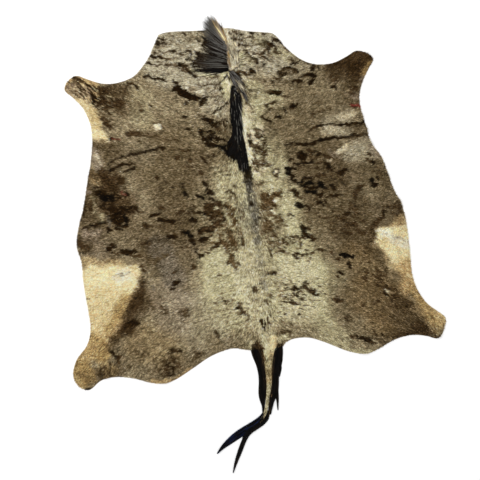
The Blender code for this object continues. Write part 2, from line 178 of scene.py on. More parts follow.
RIBS = table(Rib, (
    (767, -273, 778, 210, 717, 0),
    (715, -295, 742, 231, 692, 0),
    (665, -322, 694, 257, 649, 0.05),
    (610, -358, 654, 320, 587, 0.08),
    (560, -400, 618, 375, 563, 0.12),
    (500, -480, 600, 445, 559, 0.2),
    (442, -560, 614, 510, 580, 0.32),
    (408, -644, 655, 551, 597, 0.36),
    (392, -680, 635, 602, 575, 0.32),
    (376, -699, 600, 617, 550, 0.27),
    (360, -668, 564, 602, 529, 0.22),
    (338, -629, 508, 565, 475, 0.16),
    (310, -609, 432, 539, 415, 0.1),
    (275, -611, 375, 535, 350, 0.08),
    (225, -630, 285, 547, 280, 0.06),
    (170, -655, 205, 560, 200, 0.05),
    (110, -690, 90, 593, 141, 0.05),
    (50, -724, 1, 611, 70, 0.05),
    (0, -738, -62, 628, -10, 0.03),
    (-45, -727, -129, 650, -66, 0),
    (-90, -729, -180, 659, -125, -0.05),
    (-150, -731, -240, 660, -250, -0.1),
    (-205, -727, -330, 655, -360, -0.14),
    (-250, -729, -425, 663, -425, -0.18),
    (-285, -755, -487, 699, -502, -0.22),
    (-310, -806, -541, 740, -543, -0.25),
    (-324, -828, -607, 771, -577, -0.29),
    (-334, -809, -653, 761, -614, -0.34),
    (-346, -772, -674, 741, -649, -0.36),
    (-366, -715, -640, 719, -658, -0.32),
    (-400, -660, -633, 690, -645, -0.24),
    (-425, -580, -648, 622, -629, -0.2),
    (-448, -500, -680, 545, -638, -0.16),
    (-468, -445, -689, 470, -668, -0.12),
    (-482, -400, -679, 415, -681, -0.12),
    (-495, -320, -641, 345, -661, -0.15),
    (-515, -235, -600, 245, -606, -0.2),
    (-535, -140, -581, 185, -580, -0.1),
    (-555, -98, -592, 120, -576, 0),
    (-575, -67, -599, 88, -585, 0),
    (-592, -48, -603, 73, -601, 0),
    (-606, -30, -606, 38, -606, 0),
    (-670, -21, -669, 17, -671, 0),
    (-760, -24, -758, 0, -762, 0),
    (-850, -43, -847, -27, -853, 0),
    (-910, -80, -906, -72, -914, 0),
))

FOLDS = table(Ridge, (
    (290, 338, 600, 322, 24, 6.5),
    (225, 268, 600, 262, 26, 8),
    (330, 210, 610, 196, 28, 7),
    (430, 100, 660, 50, 34, 4),
    (520, -30, 690, -70, 32, 5),
    (-300, 322, -680, 300, 26, 5.5),
    (-390, 252, -690, 228, 28, 6),
    (-520, 60, -760, 30, 32, 4.5),
    (-590, -85, -780, -95, 30, 5),
    (-500, 540, -705, 625, 40, 5),
    (480, 530, 640, 580, 40, 4.5),
    (-678, -520, -690, -680, 20, 5.5),
    (700, -545, 745, -690, 22, 4.5),
    (-470, -560, -440, -720, 36, 4.5),
    (400, -570, 420, -720, 36, 4.5),
))

# Creases are narrow troughs where the coat parts
CREASES = table(Ridge, (
    (200, 240, 330, 236, 9, 1.6),
    (330, 236, 560, 241, 9, 2),
    (300, 290, 345, 303, 8, 1.6),
    (345, 303, 450, 296, 8, 1.8),
    (450, 294, 550, 291, 8, 1.6),
    (-550, 272, -480, 288, 8, 1.8),
    (-480, 288, -315, 301, 8, 1.6),
    (-505, 225, -445, 228, 7, 1.4),
    (-709, 6, -603, 28, 8, 1.8),
    (714, -600, 721, -652, 6, 1.6),
    (-728, -281, -704, -287, 5, 1.6),
))

# Large soft zones of the coat, from the neck to the tail
ZONES = table(Mark, (
    (-280, 720, 190, 670, 70, GREY, 70, 0.9), (-270, 630, -80, 590, 44, GREY, 60),
    (90, 640, 280, 590, 50, GREY, 60, 0.9), (-130, 560, -40, 520, 34, GREY, 40, 0.85),
    (-24, 570, -14, 490, 14, PALE, 26, 0.9), (20, 640, 20, 730, 16, GREY, 25, 0.7),
    (100, 520, 200, 500, 24, DUN, 40, 0.6), (120, 440, 190, 440, 24, PALE, 40, 0.55),
    (40, 430, 46, 130, 16, PALE, 24, 0.9), (80, 410, 90, 260, 22, PALE, 34, 0.85),
    (-90, 460, -60, 440, 24, GREY, 40, 0.6), (-70, 170, -40, -20, 46, PALE, 50, 0.85),
    (150, 240, 130, 80, 34, PALE, 45, 0.75), (190, 20, 210, -230, 34, PALE, 60, 0.9),
    (-150, -90, -150, -160, 14, PALE, 40, 0.7), (0, -60, 0, -540, 70, PALE, 90, 0.5),
    (-190, -250, -130, -430, 60, PALE, 70, 0.85), (170, -220, 230, -340, 60, PALE, 70),
    (80, -420, 230, -460, 50, PALE, 70, 0.8), (210, -530, 320, -620, 30, PALE, 50, 0.55),
    (290, -320, 330, -340, 30, PALE, 50, 0.5), (0, -560, 0, -900, 26, PALE, 30, 0.6),
    (220, 350, 300, 210, 50, OLIVE, 60, 0.6), (300, 240, 310, -60, 56, OLIVE, 60, 0.55),
    (300, 120, 310, 0, 36, BROWN, 50, 0.4), (390, 200, 390, 60, 26, BROWN, 50, 0.55),
    (420, 100, 570, 70, 30, BROWN, 40, 0.5), (390, 20, 460, -190, 60, BROWN, 60, 0.62),
    (510, -90, 580, -100, 40, BROWN, 50, 0.5), (500, -150, 500, -220, 14, BROWN, 34, 0.8),
    # The grey zones from (520, 210) to (540, 230) and from (470, 330) to (400, 300) are painted highlight on
    # the right flank's fold ridges
    (470, 160, 540, 150, 14, GREY, 36, 0.6), (520, 210, 540, 230, 10, GREY, 30, 0.3),
    (470, 330, 400, 300, 18, GREY, 40, 0.55), (500, 390, 420, 400, 26, OLIVE, 40, 0.4),
    (-390, 290, -110, 270, 60, OLIVE, 60, 0.75), (-340, 210, -210, -40, 70, OLIVE, 70, 0.75),
    (-80, 330, -50, 240, 20, OLIVE, 40, 0.7), (-450, 220, -440, 200, 20, BROWN, 50, 0.2),
    (-330, 100, -290, -100, 40, BROWN, 60, 0.38), (-450, -30, -340, -90, 50, BROWN, 60, 0.4),
    (-170, 220, -230, 20, 40, BROWN, 60, 0.25), (-430, -150, -330, -190, 40, BROWN, 60, 0.4),
    (-540, 290, -440, 260, 24, BROWN, 34, 0.45), (-600, 330, -480, 330, 20, BROWN, 40, 0.4),
    (-640, 110, -600, 60, 50, BROWN, 40, 0.6), (-560, 190, -540, 60, 36, UMBER, 34, 0.6),
    (-690, 90, -680, -40, 24, BROWN, 40, 0.6), (-640, -90, -600, -130, 26, BROWN, 40, 0.45),
    (-700, -60, -640, -90, 30, MAUVE, 40, 0.3), (-560, -60, -520, -60, 20, DUN, 40, 0.4),
    (-500, 560, -440, 500, 34, BROWN, 40, 0.65), (-330, 390, -230, 370, 30, OLIVE, 50, 0.35),
    (-420, -560, -520, -500, 50, TAN, 60, 0.3), (-460, -640, -320, -620, 30, BROWN, 40, 0.35),
    (-620, -560, -560, -520, 40, BROWN, 50, 0.25), (-500, -300, -460, -340, 24, BROWN, 40, 0.5),
    (-720, -140, -560, -160, 8, GOLD, 26, 0.55), (-700, -240, -590, -248, 72, CREAM, 26, 1),
    (-560, -220, -520, -210, 24, CREAM, 26, 0.9), (-700, -330, -640, -330, 40, CREAM, 28, 0.75),
    (-700, -410, -680, -440, 40, GOLD, 30, 0.85), (-740, -480, -700, -520, 38, TAN, 26, 0.9),
    (-810, -560, -780, -610, 36, TAN, 22, 0.8), (-720, -620, -660, -620, 34, BROWN, 22, 0.6),
    (-700, -560, -680, -600, 22, TAN, 22, 0.5), (-680, 610, -600, 590, 44, SAND, 22, 0.85),
    (-650, 560, -606, 440, 32, CREAM, 22, 0.72), (-606, 430, -575, 390, 22, CREAM, 18),
    (640, -230, 580, -230, 46, CREAM, 20, 1), (640, -290, 590, -290, 40, CREAM, 24, 0.9),
    (650, -350, 640, -390, 26, SAND, 24, 0.85), (690, -500, 740, -580, 26, GOLD, 26, 0.8),
    (640, -150, 610, -160, 14, SAND, 20, 0.7), (470, 560, 590, 560, 50, UMBER, 26),
    (520, 500, 560, 520, 30, UMBER, 26, 0.9), (450, 540, 440, 500, 24, UMBER, 30, 0.5),
    (490, 440, 520, 400, 26, BROWN, 30, 0.6), (170, 340, 200, 250, 40, OLIVE, 50, 0.5),
    (280, 440, 330, 400, 40, OLIVE, 50, 0.5), (-310, 310, -200, 160, 60, BROWN, 70, 0.3),
    (-664, 210, -650, 120, 20, BROWN, 30, 0.55), (-570, 100, -500, 86, 34, UMBER, 30, 0.55),
    (-560, -50, -300, -70, 50, BROWN, 60, 0.25), (300, 100, 320, 0, 60, BROWN, 60, 0.3),
    (540, 90, 560, 30, 30, OLIVE, 40, 0.6), (310, -60, 320, -180, 50, OLIVE, 60, 0.55),
    (-200, -540, 180, -555, 26, OLIVE, 40, 0.45), (300, 520, 440, 480, 40, OLIVE, 50, 0.3),
    (370, -60, 480, -200, 60, OLIVE, 60, 0.75), (400, -150, 480, -230, 30, BROWN, 50, 0.65),
    (430, -280, 540, -380, 50, FAWN, 60, 0.45), (460, -440, 600, -560, 70, FAWN, 60, 0.7),
    (480, -560, 620, -610, 30, FAWN, 50, 0.5), (600, -560, 650, -610, 26, BROWN, 40, 0.6),
    (-300, -160, -310, -330, 40, MAUVE, 50, 0.5), (-330, -370, -240, -480, 50, GREY, 70, 0.3),
    (-400, -330, -380, -430, 40, MAUVE, 60, 0.35), (-240, -520, -220, -580, 20, OLIVE, 40, 0.35),
    (-150, -230, -110, -330, 50, PALE, 60, 0.5), (-20, -200, -20, -560, 40, PALE, 50, 0.45),
    (180, -300, 160, -440, 50, WHITE, 60, 0.22), (-30, -240, -20, -540, 34, WHITE, 50, 0.16),
    (650, -210, 562, -214, 46, CREAM, 16, 1), (644, -290, 600, -290, 46, CREAM, 30, 0.9),
    (644, -340, 640, -420, 24, SAND, 26, 0.85), (-690, -280, -690, -400, 34, CREAM, 30, 0.55),
    (-740, -500, -760, -530, 20, SAND, 30, 0.5), (-620, -400, -650, -440, 14, TAN, 24, 0.6),
    (-520, -340, -570, -440, 22, UMBER, 34, 0.55), (-300, -90, -290, -260, 40, OLIVE, 50, 0.5),
    (0, 0, 4, -60, 22, SLATE, 30, 0.35), (606, 60, 612, -40, 30, BROWN, 30, 0.4),
    (400, -90, 450, -90, 30, BROWN, 40, 0.35), (350, -330, 340, -460, 36, OLIVE, 50, 0.45),
    (390, -570, 410, -580, 20, OLIVE, 30, 0.45), (500, -636, 600, -626, 16, BROWN, 26, 0.6),
    (-690, 100, -686, 60, 16, BROWN, 24, 0.5), (-706, -20, -690, -50, 20, BROWN, 30, 0.55),
    (-390, 520, -390, 440, 30, PALE, 40, 0.28), (-510, 400, -505, 380, 16, DUN, 30, 0.6),
    (-510, 160, -500, 140, 12, DUN, 24, 0.45), (274, 640, 300, 590, 20, OLIVE, 30, 0.5),
    (-160, 770, -90, 744, 14, OLIVE, 24, 0.45), (-340, -55, -260, -65, 36, BROWN, 40, 0.38),
    (-300, -160, -280, -200, 24, OLIVE, 40, 0.4), (-390, -110, -340, -250, 30, STEEL, 40, 0.35),
    (-430, 310, -400, 290, 36, GREY, 50, 0.2), (-190, 80, -170, 40, 30, PALE, 50, 0.16),
    (-320, -540, -190, -545, 40, GREY, 50, 0.18), (180, 430, 180, 410, 30, PALE, 40, 0.1),
    (530, -420, 550, -540, 40, UMBER, 50, 0.14), (652, -190, 656, -180, 16, CREAM, 24, 0.3),
    (650, -380, 680, -440, 14, SAND, 30, 0.34), (-670, 190, -650, 210, 22, UMBER, 34, 0.22),
    (310, 320, 520, 300, 40, BROWN, 50, 0.12), (8, -640, -6, -740, 12, TAN, 14, 0.3),
    (-660, -300, -670, -380, 50, GOLD, 40, 0.22), (-640, -215, -590, -212, 34, CREAM, 30, 0.55),
    (-570, -310, -634, -450, 10, TAN, 26, 0.6), (604, -205, 640, -215, 24, CREAM, 24, 0.75),
    (618, -350, 640, -420, 14, SAND, 28, 0.5), (-630, 590, -590, 580, 18, SAND, 24, 0.36),
    (-690, -450, -670, -490, 20, SAND, 26, 0.24), (440, 335, 520, 335, 14, OLIVE, 22, 0.3),
    (-220, -300, -220, -470, 50, PALE, 60, 0.14), (80, -310, 240, -310, 44, PALE, 50, 0.14),
    (450, -290, 520, -300, 30, TAN, 50, 0.14), (-180, -50, -170, -70, 34, PALE, 50, 0.18),
    (-60, -40, -60, -90, 26, PALE, 30, 0.16), (180, -160, 180, -200, 34, PALE, 40, 0.2),
    (180, 60, 310, 60, 40, OLIVE, 50, 0.16), (-60, 70, -60, 50, 34, DUN, 40, 0.2),
    (60, -545, 190, -545, 40, DUN, 50, 0.26), (-190, -420, -180, -420, 36, DUN, 50, 0.22),
    (52, 470, 64, 410, 16, DUN, 20, 0.4), (6, -640, -6, -740, 12, FAWN, 14, 0.36),
    (-620, 590, -600, 584, 16, GREY, 24, 0.2), (480, 335, 500, 335, 20, OLIVE, 24, 0.22),
    (-430, 70, -440, 30, 30, DUN, 40, 0.3), (180, -180, 180, -200, 34, PALE, 40, 0.16),
    (-540, 80, -560, 30, 40, SAND, 40, 0.08),
))

# Streaks and spots of the neck and the parting round the whorl
NECK_MARKS = table(Mark, (
    (-276, 759, -250, 753, 3, INK, 4, 0.82, 0.1), (-294, 745, -250, 738, 4, INK, 4, 0.85, 0.15),
    (-288, 728, -250, 727, 2.5, UMBER, 4, 0.5, 0.2), (-222, 770, -213, 765, 4, BROWN, 4, 0.6),
    (-168, 771, -158, 765, 5, UMBER, 4, 0.88), (-100, 774, -84, 770, 4, INK, 4, 0.94),
    (-302, 703, -206, 700, 1.5, UMBER, 4, 0.85, 0.1), (-232, 701, -220, 699, 3, INK, 4, 0.82),
    (-320, 694, -302, 689, 3, INK, 4, 0.85), (-306, 686, -268, 681, 3, INK, 4, 0.91),
    (-268, 681, -240, 672, 2.5, UMBER, 4, 0.82), (-209, 688, -181, 684, 3, UMBER, 4, 0.82, 0.1),
    (-175, 693, -148, 688, 4, INK, 4, 0.88, 0.1), (-153, 686, -149, 673, 4, INK, 3, 0.94),
    (-137, 692, -128, 692, 1.5, UMBER, 4, 0.6), (-126, 680, -107, 672, 3.5, INK, 4, 0.85, 0.1),
    (-116, 669, -104, 658, 6, INK, 4), (-110, 732, -107, 724, 4.5, INK, 4, 0.94),
    (-82, 734, -78, 724, 5, INK, 4), (-92, 714, -78, 708, 4, INK, 4, 0.88, 0.1),
    (-340, 666, -304, 657, 3, INK, 3, 0.91), (-294, 668, -277, 661, 1.5, UMBER, 4, 0.55),
    (-298, 651, -250, 648, 2, UMBER, 4, 0.85, 0.1), (-250, 649, -213, 643, 2, UMBER, 4, 0.82, 0.15),
    (-249, 643, -221, 635, 2, UMBER, 4, 0.6), (-215, 650, -190, 641, 3, INK, 4, 0.88),
    (-204, 637, -170, 625, 5, INK, 4, 0.88, 0.15), (-196, 620, -170, 610, 4, UMBER, 4, 0.88, 0.1),
    (-171, 657, -101, 652, 3, INK, 4, 0.91, 0.05), (-141, 640, -60, 634, 4, INK, 4, 0.91),
    (-150, 628, -100, 622, 6, BLACK, 4, 0.82, 0.1), (-165, 608, -95, 594, 1.5, PALE, 4, 0.88),
    (-166, 600, -142, 584, 6, INK, 4, 0.91, 0.05), (-130, 585, -62, 577, 2, PALE, 4, 0.88),
    (-126, 577, -64, 569, 1.5, UMBER, 4, 0.6), (-352, 615, -326, 601, 3, INK, 3, 0.91),
    (-326, 602, -304, 596, 2.5, INK, 3, 0.91), (-304, 596, -262, 582, 3, INK, 3, 0.88, 0.05),
    (-235, 572, -224, 567, 4, INK, 4, 0.91), (-300, 627, -292, 624, 3, BROWN, 4, 0.4),
    (-56, 576, -50, 560, 4, BROWN, 6, 0.5), (-6, 580, -14, 561, 2.5, INK),
    (-14, 561, -30, 545, 2.5, INK), (-30, 545, -50, 537, 2, INK, 3, 0.94),
    (-50, 537, -104, 536, 1.2, UMBER, 4, 0.82), (-104, 536, -142, 546, 1, UMBER, 4, 0.5),
    (-6, 580, 0, 545, 1.5, INK, 3, 0.94), (-9, 555, -5, 490, 2.5, WHITE, 3, 0.91),
    (-22, 535, -20, 495, 7, PALE, 4, 0.82), (-1, 545, 0, 500, 2, PALE, 3, 0.6),
    (-44, 518, -36, 514, 3, INK, 4, 0.88), (-40, 497, -36, 494, 3, UMBER, 4, 0.82),
    (-66, 521, -63, 516, 2.5, UMBER, 4, 0.82), (28, 743, 36, 737, 3.5, INK, 3, 0.91),
    (46, 752, 66, 744, 3.5, UMBER, 4, 0.88, 0.2), (71, 735, 81, 729, 3.5, INK, 3, 0.94),
    (117, 734, 126, 729, 3, INK, 3, 0.94), (126, 726, 120, 712, 2, BROWN, 4, 0.82),
    (38, 723, 50, 714, 3, INK, 3, 0.91), (51, 718, 74, 712, 3.5, UMBER, 4, 0.91, 0.1),
    (100, 718, 122, 714, 2, BROWN, 4, 0.82, 0.1), (56, 708, 90, 702, 2, UMBER, 4, 0.6, 0.3),
    (52, 693, 66, 688, 3, UMBER, 4, 0.88), (68, 685, 88, 679, 4, INK, 4, 0.91, 0.1),
    (96, 690, 104, 676, 2.5, BROWN, 4, 0.6, 0.2), (154, 684, 200, 676, 8, INK, 4, 0.94, 0.1),
    (206, 690, 225, 682, 6, INK, 4, 0.88, 0.15), (176, 664, 186, 654, 5, INK, 4, 0.88, 0.1),
    (188, 667, 214, 658, 5, UMBER, 4, 0.85, 0.25), (238, 676, 262, 645, 2.5, INK, 4, 0.88),
    (262, 645, 284, 628, 2.5, INK, 4, 0.85), (26, 708, 29, 682, 3, BROWN, 4, 0.85),
    (12, 686, 14, 672, 3, BROWN, 4, 0.5), (57, 663, 58, 634, 4, INK, 3, 0.91, 0.1),
    (50, 640, 54, 632, 3, UMBER, 4, 0.6), (83, 662, 88, 645, 6, INK, 4, 0.94, 0.1),
    (89, 641, 100, 630, 4, INK, 3, 0.91), (100, 632, 116, 618, 5, INK, 4, 0.91),
    (116, 618, 130, 602, 5, INK, 4, 0.94), (128, 600, 108, 611, 3.5, INK, 3, 0.91),
    (108, 611, 86, 618, 4, UMBER, 4, 0.82, 0.2), (152, 644, 158, 612, 7, UMBER, 4, 0.85, 0.3),
    (140, 633, 146, 628, 4, BROWN, 5, 0.6, 0.2), (172, 636, 226, 620, 11, UMBER, 8, 0.65, 0.35),
    (171, 610, 144, 584, 3, INK, 4, 0.85, 0.1), (178, 602, 200, 600, 4, BROWN, 5, 0.5, 0.2),
    (52, 607, 94, 602, 1.5, UMBER, 4, 0.85, 0.1), (14, 590, 54, 604, 3.5, INK, 3, 0.94),
    (16, 586, 44, 560, 7, INK, 4, 0.85, 0.1), (50, 572, 74, 566, 6, UMBER, 4, 0.85, 0.2),
    (74, 562, 98, 566, 5, UMBER, 4, 0.82, 0.25), (99, 573, 114, 566, 5, INK, 4, 0.88, 0.1),
    (120, 580, 134, 574, 3, BROWN, 5, 0.5, 0.2), (48, 541, 92, 530, 2, WHITE, 4, 0.82),
    (62, 548, 96, 546, 2, WHITE, 4, 0.5), (46, 534, 60, 510, 3, UMBER, 4, 0.82, 0.1),
    (58, 524, 84, 502, 3.5, UMBER, 4, 0.6, 0.2), (144, 526, 150, 522, 2.5, UMBER, 4, 0.6),
    (174, 520, 184, 514, 3, INK, 4, 0.85), (190, 528, 210, 524, 1.5, UMBER, 4, 0.82),
    (88, 487, 118, 481, 4, INK, 4, 0.88, 0.15), (206, 640, 262, 612, 14, PALE, 14, 0.5),
    (20, 700, 18, 610, 12, WHITE, 10, 0.75), (44, 690, 40, 612, 8, WHITE, 4, 0.79),
    (64, 650, 76, 622, 6, WHITE, 6, 0.6), (66, 676, 100, 672, 3, WHITE, 5, 0.5),
    (34, 668, 33, 640, 1.5, UMBER, 3, 0.82), (44, 680, 46, 662, 1.5, UMBER, 3, 0.82),
    (4, 665, 5, 600, 5, MAUVE, 6, 0.6), (6, 770, 15, 736, 9, WHITE, 8, 0.7),
    (70, 640, 100, 614, 13, PALE, 14, 0.45), (78, 516, 112, 500, 16, PALE, 16, 0.6),
    (140, 702, 162, 682, 13, PALE, 14, 0.4), (250, 652, 272, 634, 6, UMBER, 4, 0.85, 0.2),
    (262, 608, 276, 596, 5, UMBER, 4, 0.8, 0.2), (206, 646, 222, 636, 6, UMBER, 4, 0.85, 0.2),
))

# The left side from the shoulder to the flank
LEFT_SIDE_MARKS = table(Mark, (
    (-232, 544, -210, 526, 12, INK), (-212, 528, -190, 506, 14, INK),
    (-190, 504, -160, 494, 12, INK), (-160, 493, -124, 484, 8, INK, 3, 0.95, 0.05),
    (-131, 486, -132, 460, 8, INK, 4, 0.94, 0.1), (-112, 486, -116, 462, 5, INK, 4, 0.88, 0.3),
    (-174, 538, -159, 525, 8, BROWN, 6, 0.6, 0.3), (-110, 520, -90, 520, 4, BROWN, 3, 0.5),
    (-86, 500, -60, 490, 3, BROWN, 3, 0.5), (-78, 466, -60, 460, 3, UMBER, 3, 0.4),
    (-20, 452, -62, 428, 2.5, INK), (-62, 428, -92, 416, 1.5, INK),
    (-197, 476, -196, 470, 4, INK), (-215, 419, -208, 420, 5, INK, 3, 0.94),
    (-246, 441, -230, 438, 2.5, OLIVE, 3, 0.88), (-208, 363, -197, 366, 5, INK, 3, 0.88, 0.1),
    (-132, 402, -106, 388, 9, INK, 3, 0.94, 0.15), (-110, 386, -80, 364, 12, INK, 3, 0.9, 0.15),
    (-148, 418, -128, 408, 4, UMBER, 3, 0.82, 0.2), (-55, 384, -48, 358, 5, INK, 3, 0.91, 0.15),
    (-40, 382, -22, 376, 4, INK, 3, 0.91, 0.1), (-278, 358, -246, 356, 2.5, OLIVE, 3, 0.94),
    (-308, 334, -250, 329, 2.5, BROWN, 3, 0.88), (-246, 356, -238, 342, 2.5, OLIVE, 3, 0.88),
    (-335, 393, -322, 393, 8.5, WHITE, 2, 0.85), (-342, 410, -316, 409, 1.5, BROWN, 3, 0.88),
    (-310, 404, -307, 388, 1.5, BROWN, 3, 0.82), (-452, 382, -410, 370, 9, UMBER, 4, 0.91),
    (-408, 370, -334, 354, 5, BROWN, 4), (-338, 352, -310, 336, 7, BROWN, 6, 0.6),
    (-391, 471, -385, 470, 4, UMBER), (-352, 489, -348, 488, 4, UMBER),
    (-346, 478, -342, 478, 3.5, UMBER), (-396, 506, -384, 484, 5, BROWN, 3, 0.95, 0.2),
    (-412, 590, -400, 578, 4, INK), (-400, 578, -390, 565, 4, INK),
    (-450, 560, -428, 588, 5, UMBER, 3, 0.95, 0.1), (-428, 588, -414, 591, 4, UMBER),
    # The ink lines from (-560, 262) to (-312, 299), and from (-500, 224) to (-448, 231), are painted shade in
    # the left flank's creases
    (-428, 343, -406, 340, 2, BROWN, 3, 0.88), (-560, 262, -520, 280, 3, INK),
    (-520, 281, -480, 289, 4, INK), (-480, 290, -440, 293, 4, INK),
    (-440, 293, -400, 298, 3.5, INK), (-400, 299, -372, 301, 3, INK),
    (-366, 301, -312, 299, 4, INK), (-300, 291, -250, 283, 1.5, BROWN, 3, 0.88),
    (-250, 283, -212, 277, 2.5, UMBER, 3, 0.88), (-556, 236, -500, 256, 4, INK, 4, 0.91),
    (-500, 256, -444, 249, 3, INK, 3, 0.91), (-500, 224, -448, 231, 3, INK),
    (-108, 278, -60, 272, 6, BLACK), (-60, 272, -24, 276, 8, BLACK),
    (-70, 262, -54, 248, 6, BLACK), (-66, 302, -50, 292, 5, INK, 3, 0.94, 0.15),
    (-76, 346, -54, 330, 7, UMBER, 3, 0.88, 0.4), (-40, 240, -24, 216, 13, BLACK),
    (-270, 251, -260, 253, 5, UMBER), (-215, 232, -208, 230, 4, UMBER),
    (-241, 211, -205, 206, 2, UMBER, 3, 0.88), (-162, 242, -154, 236, 4, INK),
    (-152, 224, -146, 212, 5, INK), (-134, 242, -128, 228, 3, UMBER, 3, 0.94, 0.1),
    (-116, 244, -108, 240, 4, UMBER, 3, 0.94, 0.1), (-362, 182, -357, 176, 5, UMBER),
    (-180, 184, -175, 172, 3, UMBER), (-338, 153, -318, 150, 4, BROWN, 4, 0.6),
    (-301, 132, -297, 130, 4, INK), (-257, 138, -253, 116, 2.5, INK),
    (-254, 96, -248, 86, 8, BLACK), (-208, 84, -192, 78, 4, INK),
    (-192, 76, -180, 66, 5.5, BLACK), (-172, 132, -166, 130, 4, INK),
    (-163, 124, -157, 119, 5, INK), (-160, 100, -144, 95, 5, INK, 3, 0.95, 0.05),
    (-154, 88, -136, 84, 5, INK), (-152, 62, -138, 52, 5, INK),
    (-174, -2, -120, -8, 8, INK, 3, 0.95, 0.1), (-208, 9, -174, 4, 4, INK),
    (-254, 15, -214, 12, 3, INK, 3, 0.95, 0.1), (-300, 16, -270, 24, 3.5, UMBER),
    (-226, 37, -216, 32, 3, UMBER), (-412, 22, -372, 24, 5, INK),
    (-363, 53, -350, 47, 6, UMBER, 3, 0.94, 0.1), (-378, 4, -368, 0, 4, INK),
    (-362, -3, -344, -8, 6, INK), (-340, -10, -318, -17, 4, INK),
    (-68, 152, -50, 142, 2.5, UMBER, 3, 0.94, 0.05), (-70, 174, -60, 168, 3, BROWN, 3, 0.82),
    (-44, 98, -38, 88, 4, UMBER), (-82, 82, -62, 82, 2.5, UMBER, 3, 0.91),
    (-60, 82, -48, 68, 3, UMBER), (-47, 68, -45, 52, 3, UMBER),
    (-92, 26, -88, 14, 5, INK), (-72, 14, -58, 0, 8, RUST, 3, 0.94, 0.15),
    (-42, 24, -38, 20, 4, UMBER), (-242, -20, -226, -28, 7, INK),
    (-170, -16, -152, -28, 8, INK, 3, 0.95, 0.1), (-148, -14, -112, -34, 11, UMBER, 3, 0.9, 0.2),
    (-130, -4, -108, -8, 6, RUST), (-216, -74, -196, -62, 6, INK),
    (-194, -62, -156, -62, 10, UMBER, 3, 0.9), (-190, -72, -160, -74, 4, INK),
    (-152, -54, -122, -42, 8, UMBER, 3, 0.94, 0.1), (-288, -64, -266, -62, 7, INK),
    (-268, -66, -250, -88, 8, BLACK), (-344, -76, -320, -80, 7, INK, 3, 0.94, 0.05),
    (-322, -66, -316, -74, 4, UMBER), (-256, -106, -242, -104, 6, INK),
    (-248, -112, -244, -124, 5, INK), (-214, -110, -194, -104, 7, INK),
    (-206, -118, -196, -122, 4, INK), (-194, -98, -164, -96, 2.5, INK),
    (-300, -127, -270, -130, 4, UMBER, 3, 0.91, 0.3), (-242, -150, -238, -165, 5, INK),
    (-238, -168, -210, -172, 4.5, INK), (-232, -174, -226, -180, 3, INK),
    (-134, -84, -132, -118, 3.5, RUST, 3, 0.94, 0.2), (-176, -150, -154, -144, 4.5, UMBER, 3, 0.94, 0.1),
    (-152, -140, -120, -128, 6, UMBER), (-204, -165, -180, -163, 2, UMBER),
    (-120, -132, -102, -148, 7, RUST), (-114, -150, -108, -172, 7, RUST, 3, 0.95, 0.05),
    (-92, -82, -90, -112, 9, RUST, 3, 0.95, 0.05), (-90, -112, -84, -142, 10, RUST),
    (-78, -144, -76, -166, 6, RUST, 3, 0.94, 0.2), (-68, -22, -62, -58, 8, RUST, 3, 0.94, 0.25),
    (-98, -186, -96, -202, 6, RUST), (-96, -204, -92, -228, 9, RUST),
    (-88, -234, -84, -248, 5, RUST), (-112, -218, -104, -224, 4, UMBER, 3, 0.94, 0.1),
    (-71, -226, -69, -234, 5, UMBER), (-42, -130, -35, -148, 7, UMBER, 3, 0.91, 0.15),
    (-54, -116, -46, -112, 4, UMBER, 3, 0.94, 0.1), (-264, -210, -254, -206, 2.5, UMBER),
    (-262, -220, -252, -218, 3, UMBER), (-352, -277, -326, -269, 4.5, INK),
    (-364, -298, -356, -293, 4, INK), (-348, -230, -334, -222, 3, UMBER, 3, 0.94, 0.1),
    (-424, -178, -384, -160, 4.5, BROWN), (-378, -150, -360, -146, 3, BROWN),
    (-160, -268, -156, -272, 4, BROWN), (-444, -14, -430, -22, 7, UMBER),
    (-154, 352, -148, 326, 6, INK), (-146, 326, -138, 300, 8, INK),
    (-134, 292, -108, 284, 9, INK, 3, 0.95, 0.1), (-118, 344, -104, 334, 7, INK, 3, 0.95, 0.1),
    (-128, 322, -108, 308, 8, INK, 3, 0.95, 0.2), (-104, 318, -82, 300, 10, INK, 3, 0.95, 0.2),
    (-178, 36, -160, 36, 6, UMBER), (-158, 34, -140, 26, 6, UMBER, 3, 0.95, 0.05),
    (-140, 34, -116, 38, 8, UMBER, 3, 0.95, 0.1), (-178, 20, -156, 14, 7, UMBER),
    (-152, 12, -136, 18, 4, UMBER, 3, 0.9, 0.1), (-112, 42, -114, 16, 5, UMBER),
    (-134, 20, -128, 16, 3.5, PALE), (-246, 14, -222, 11, 2.5, UMBER, 3, 0.9, 0.15),
))

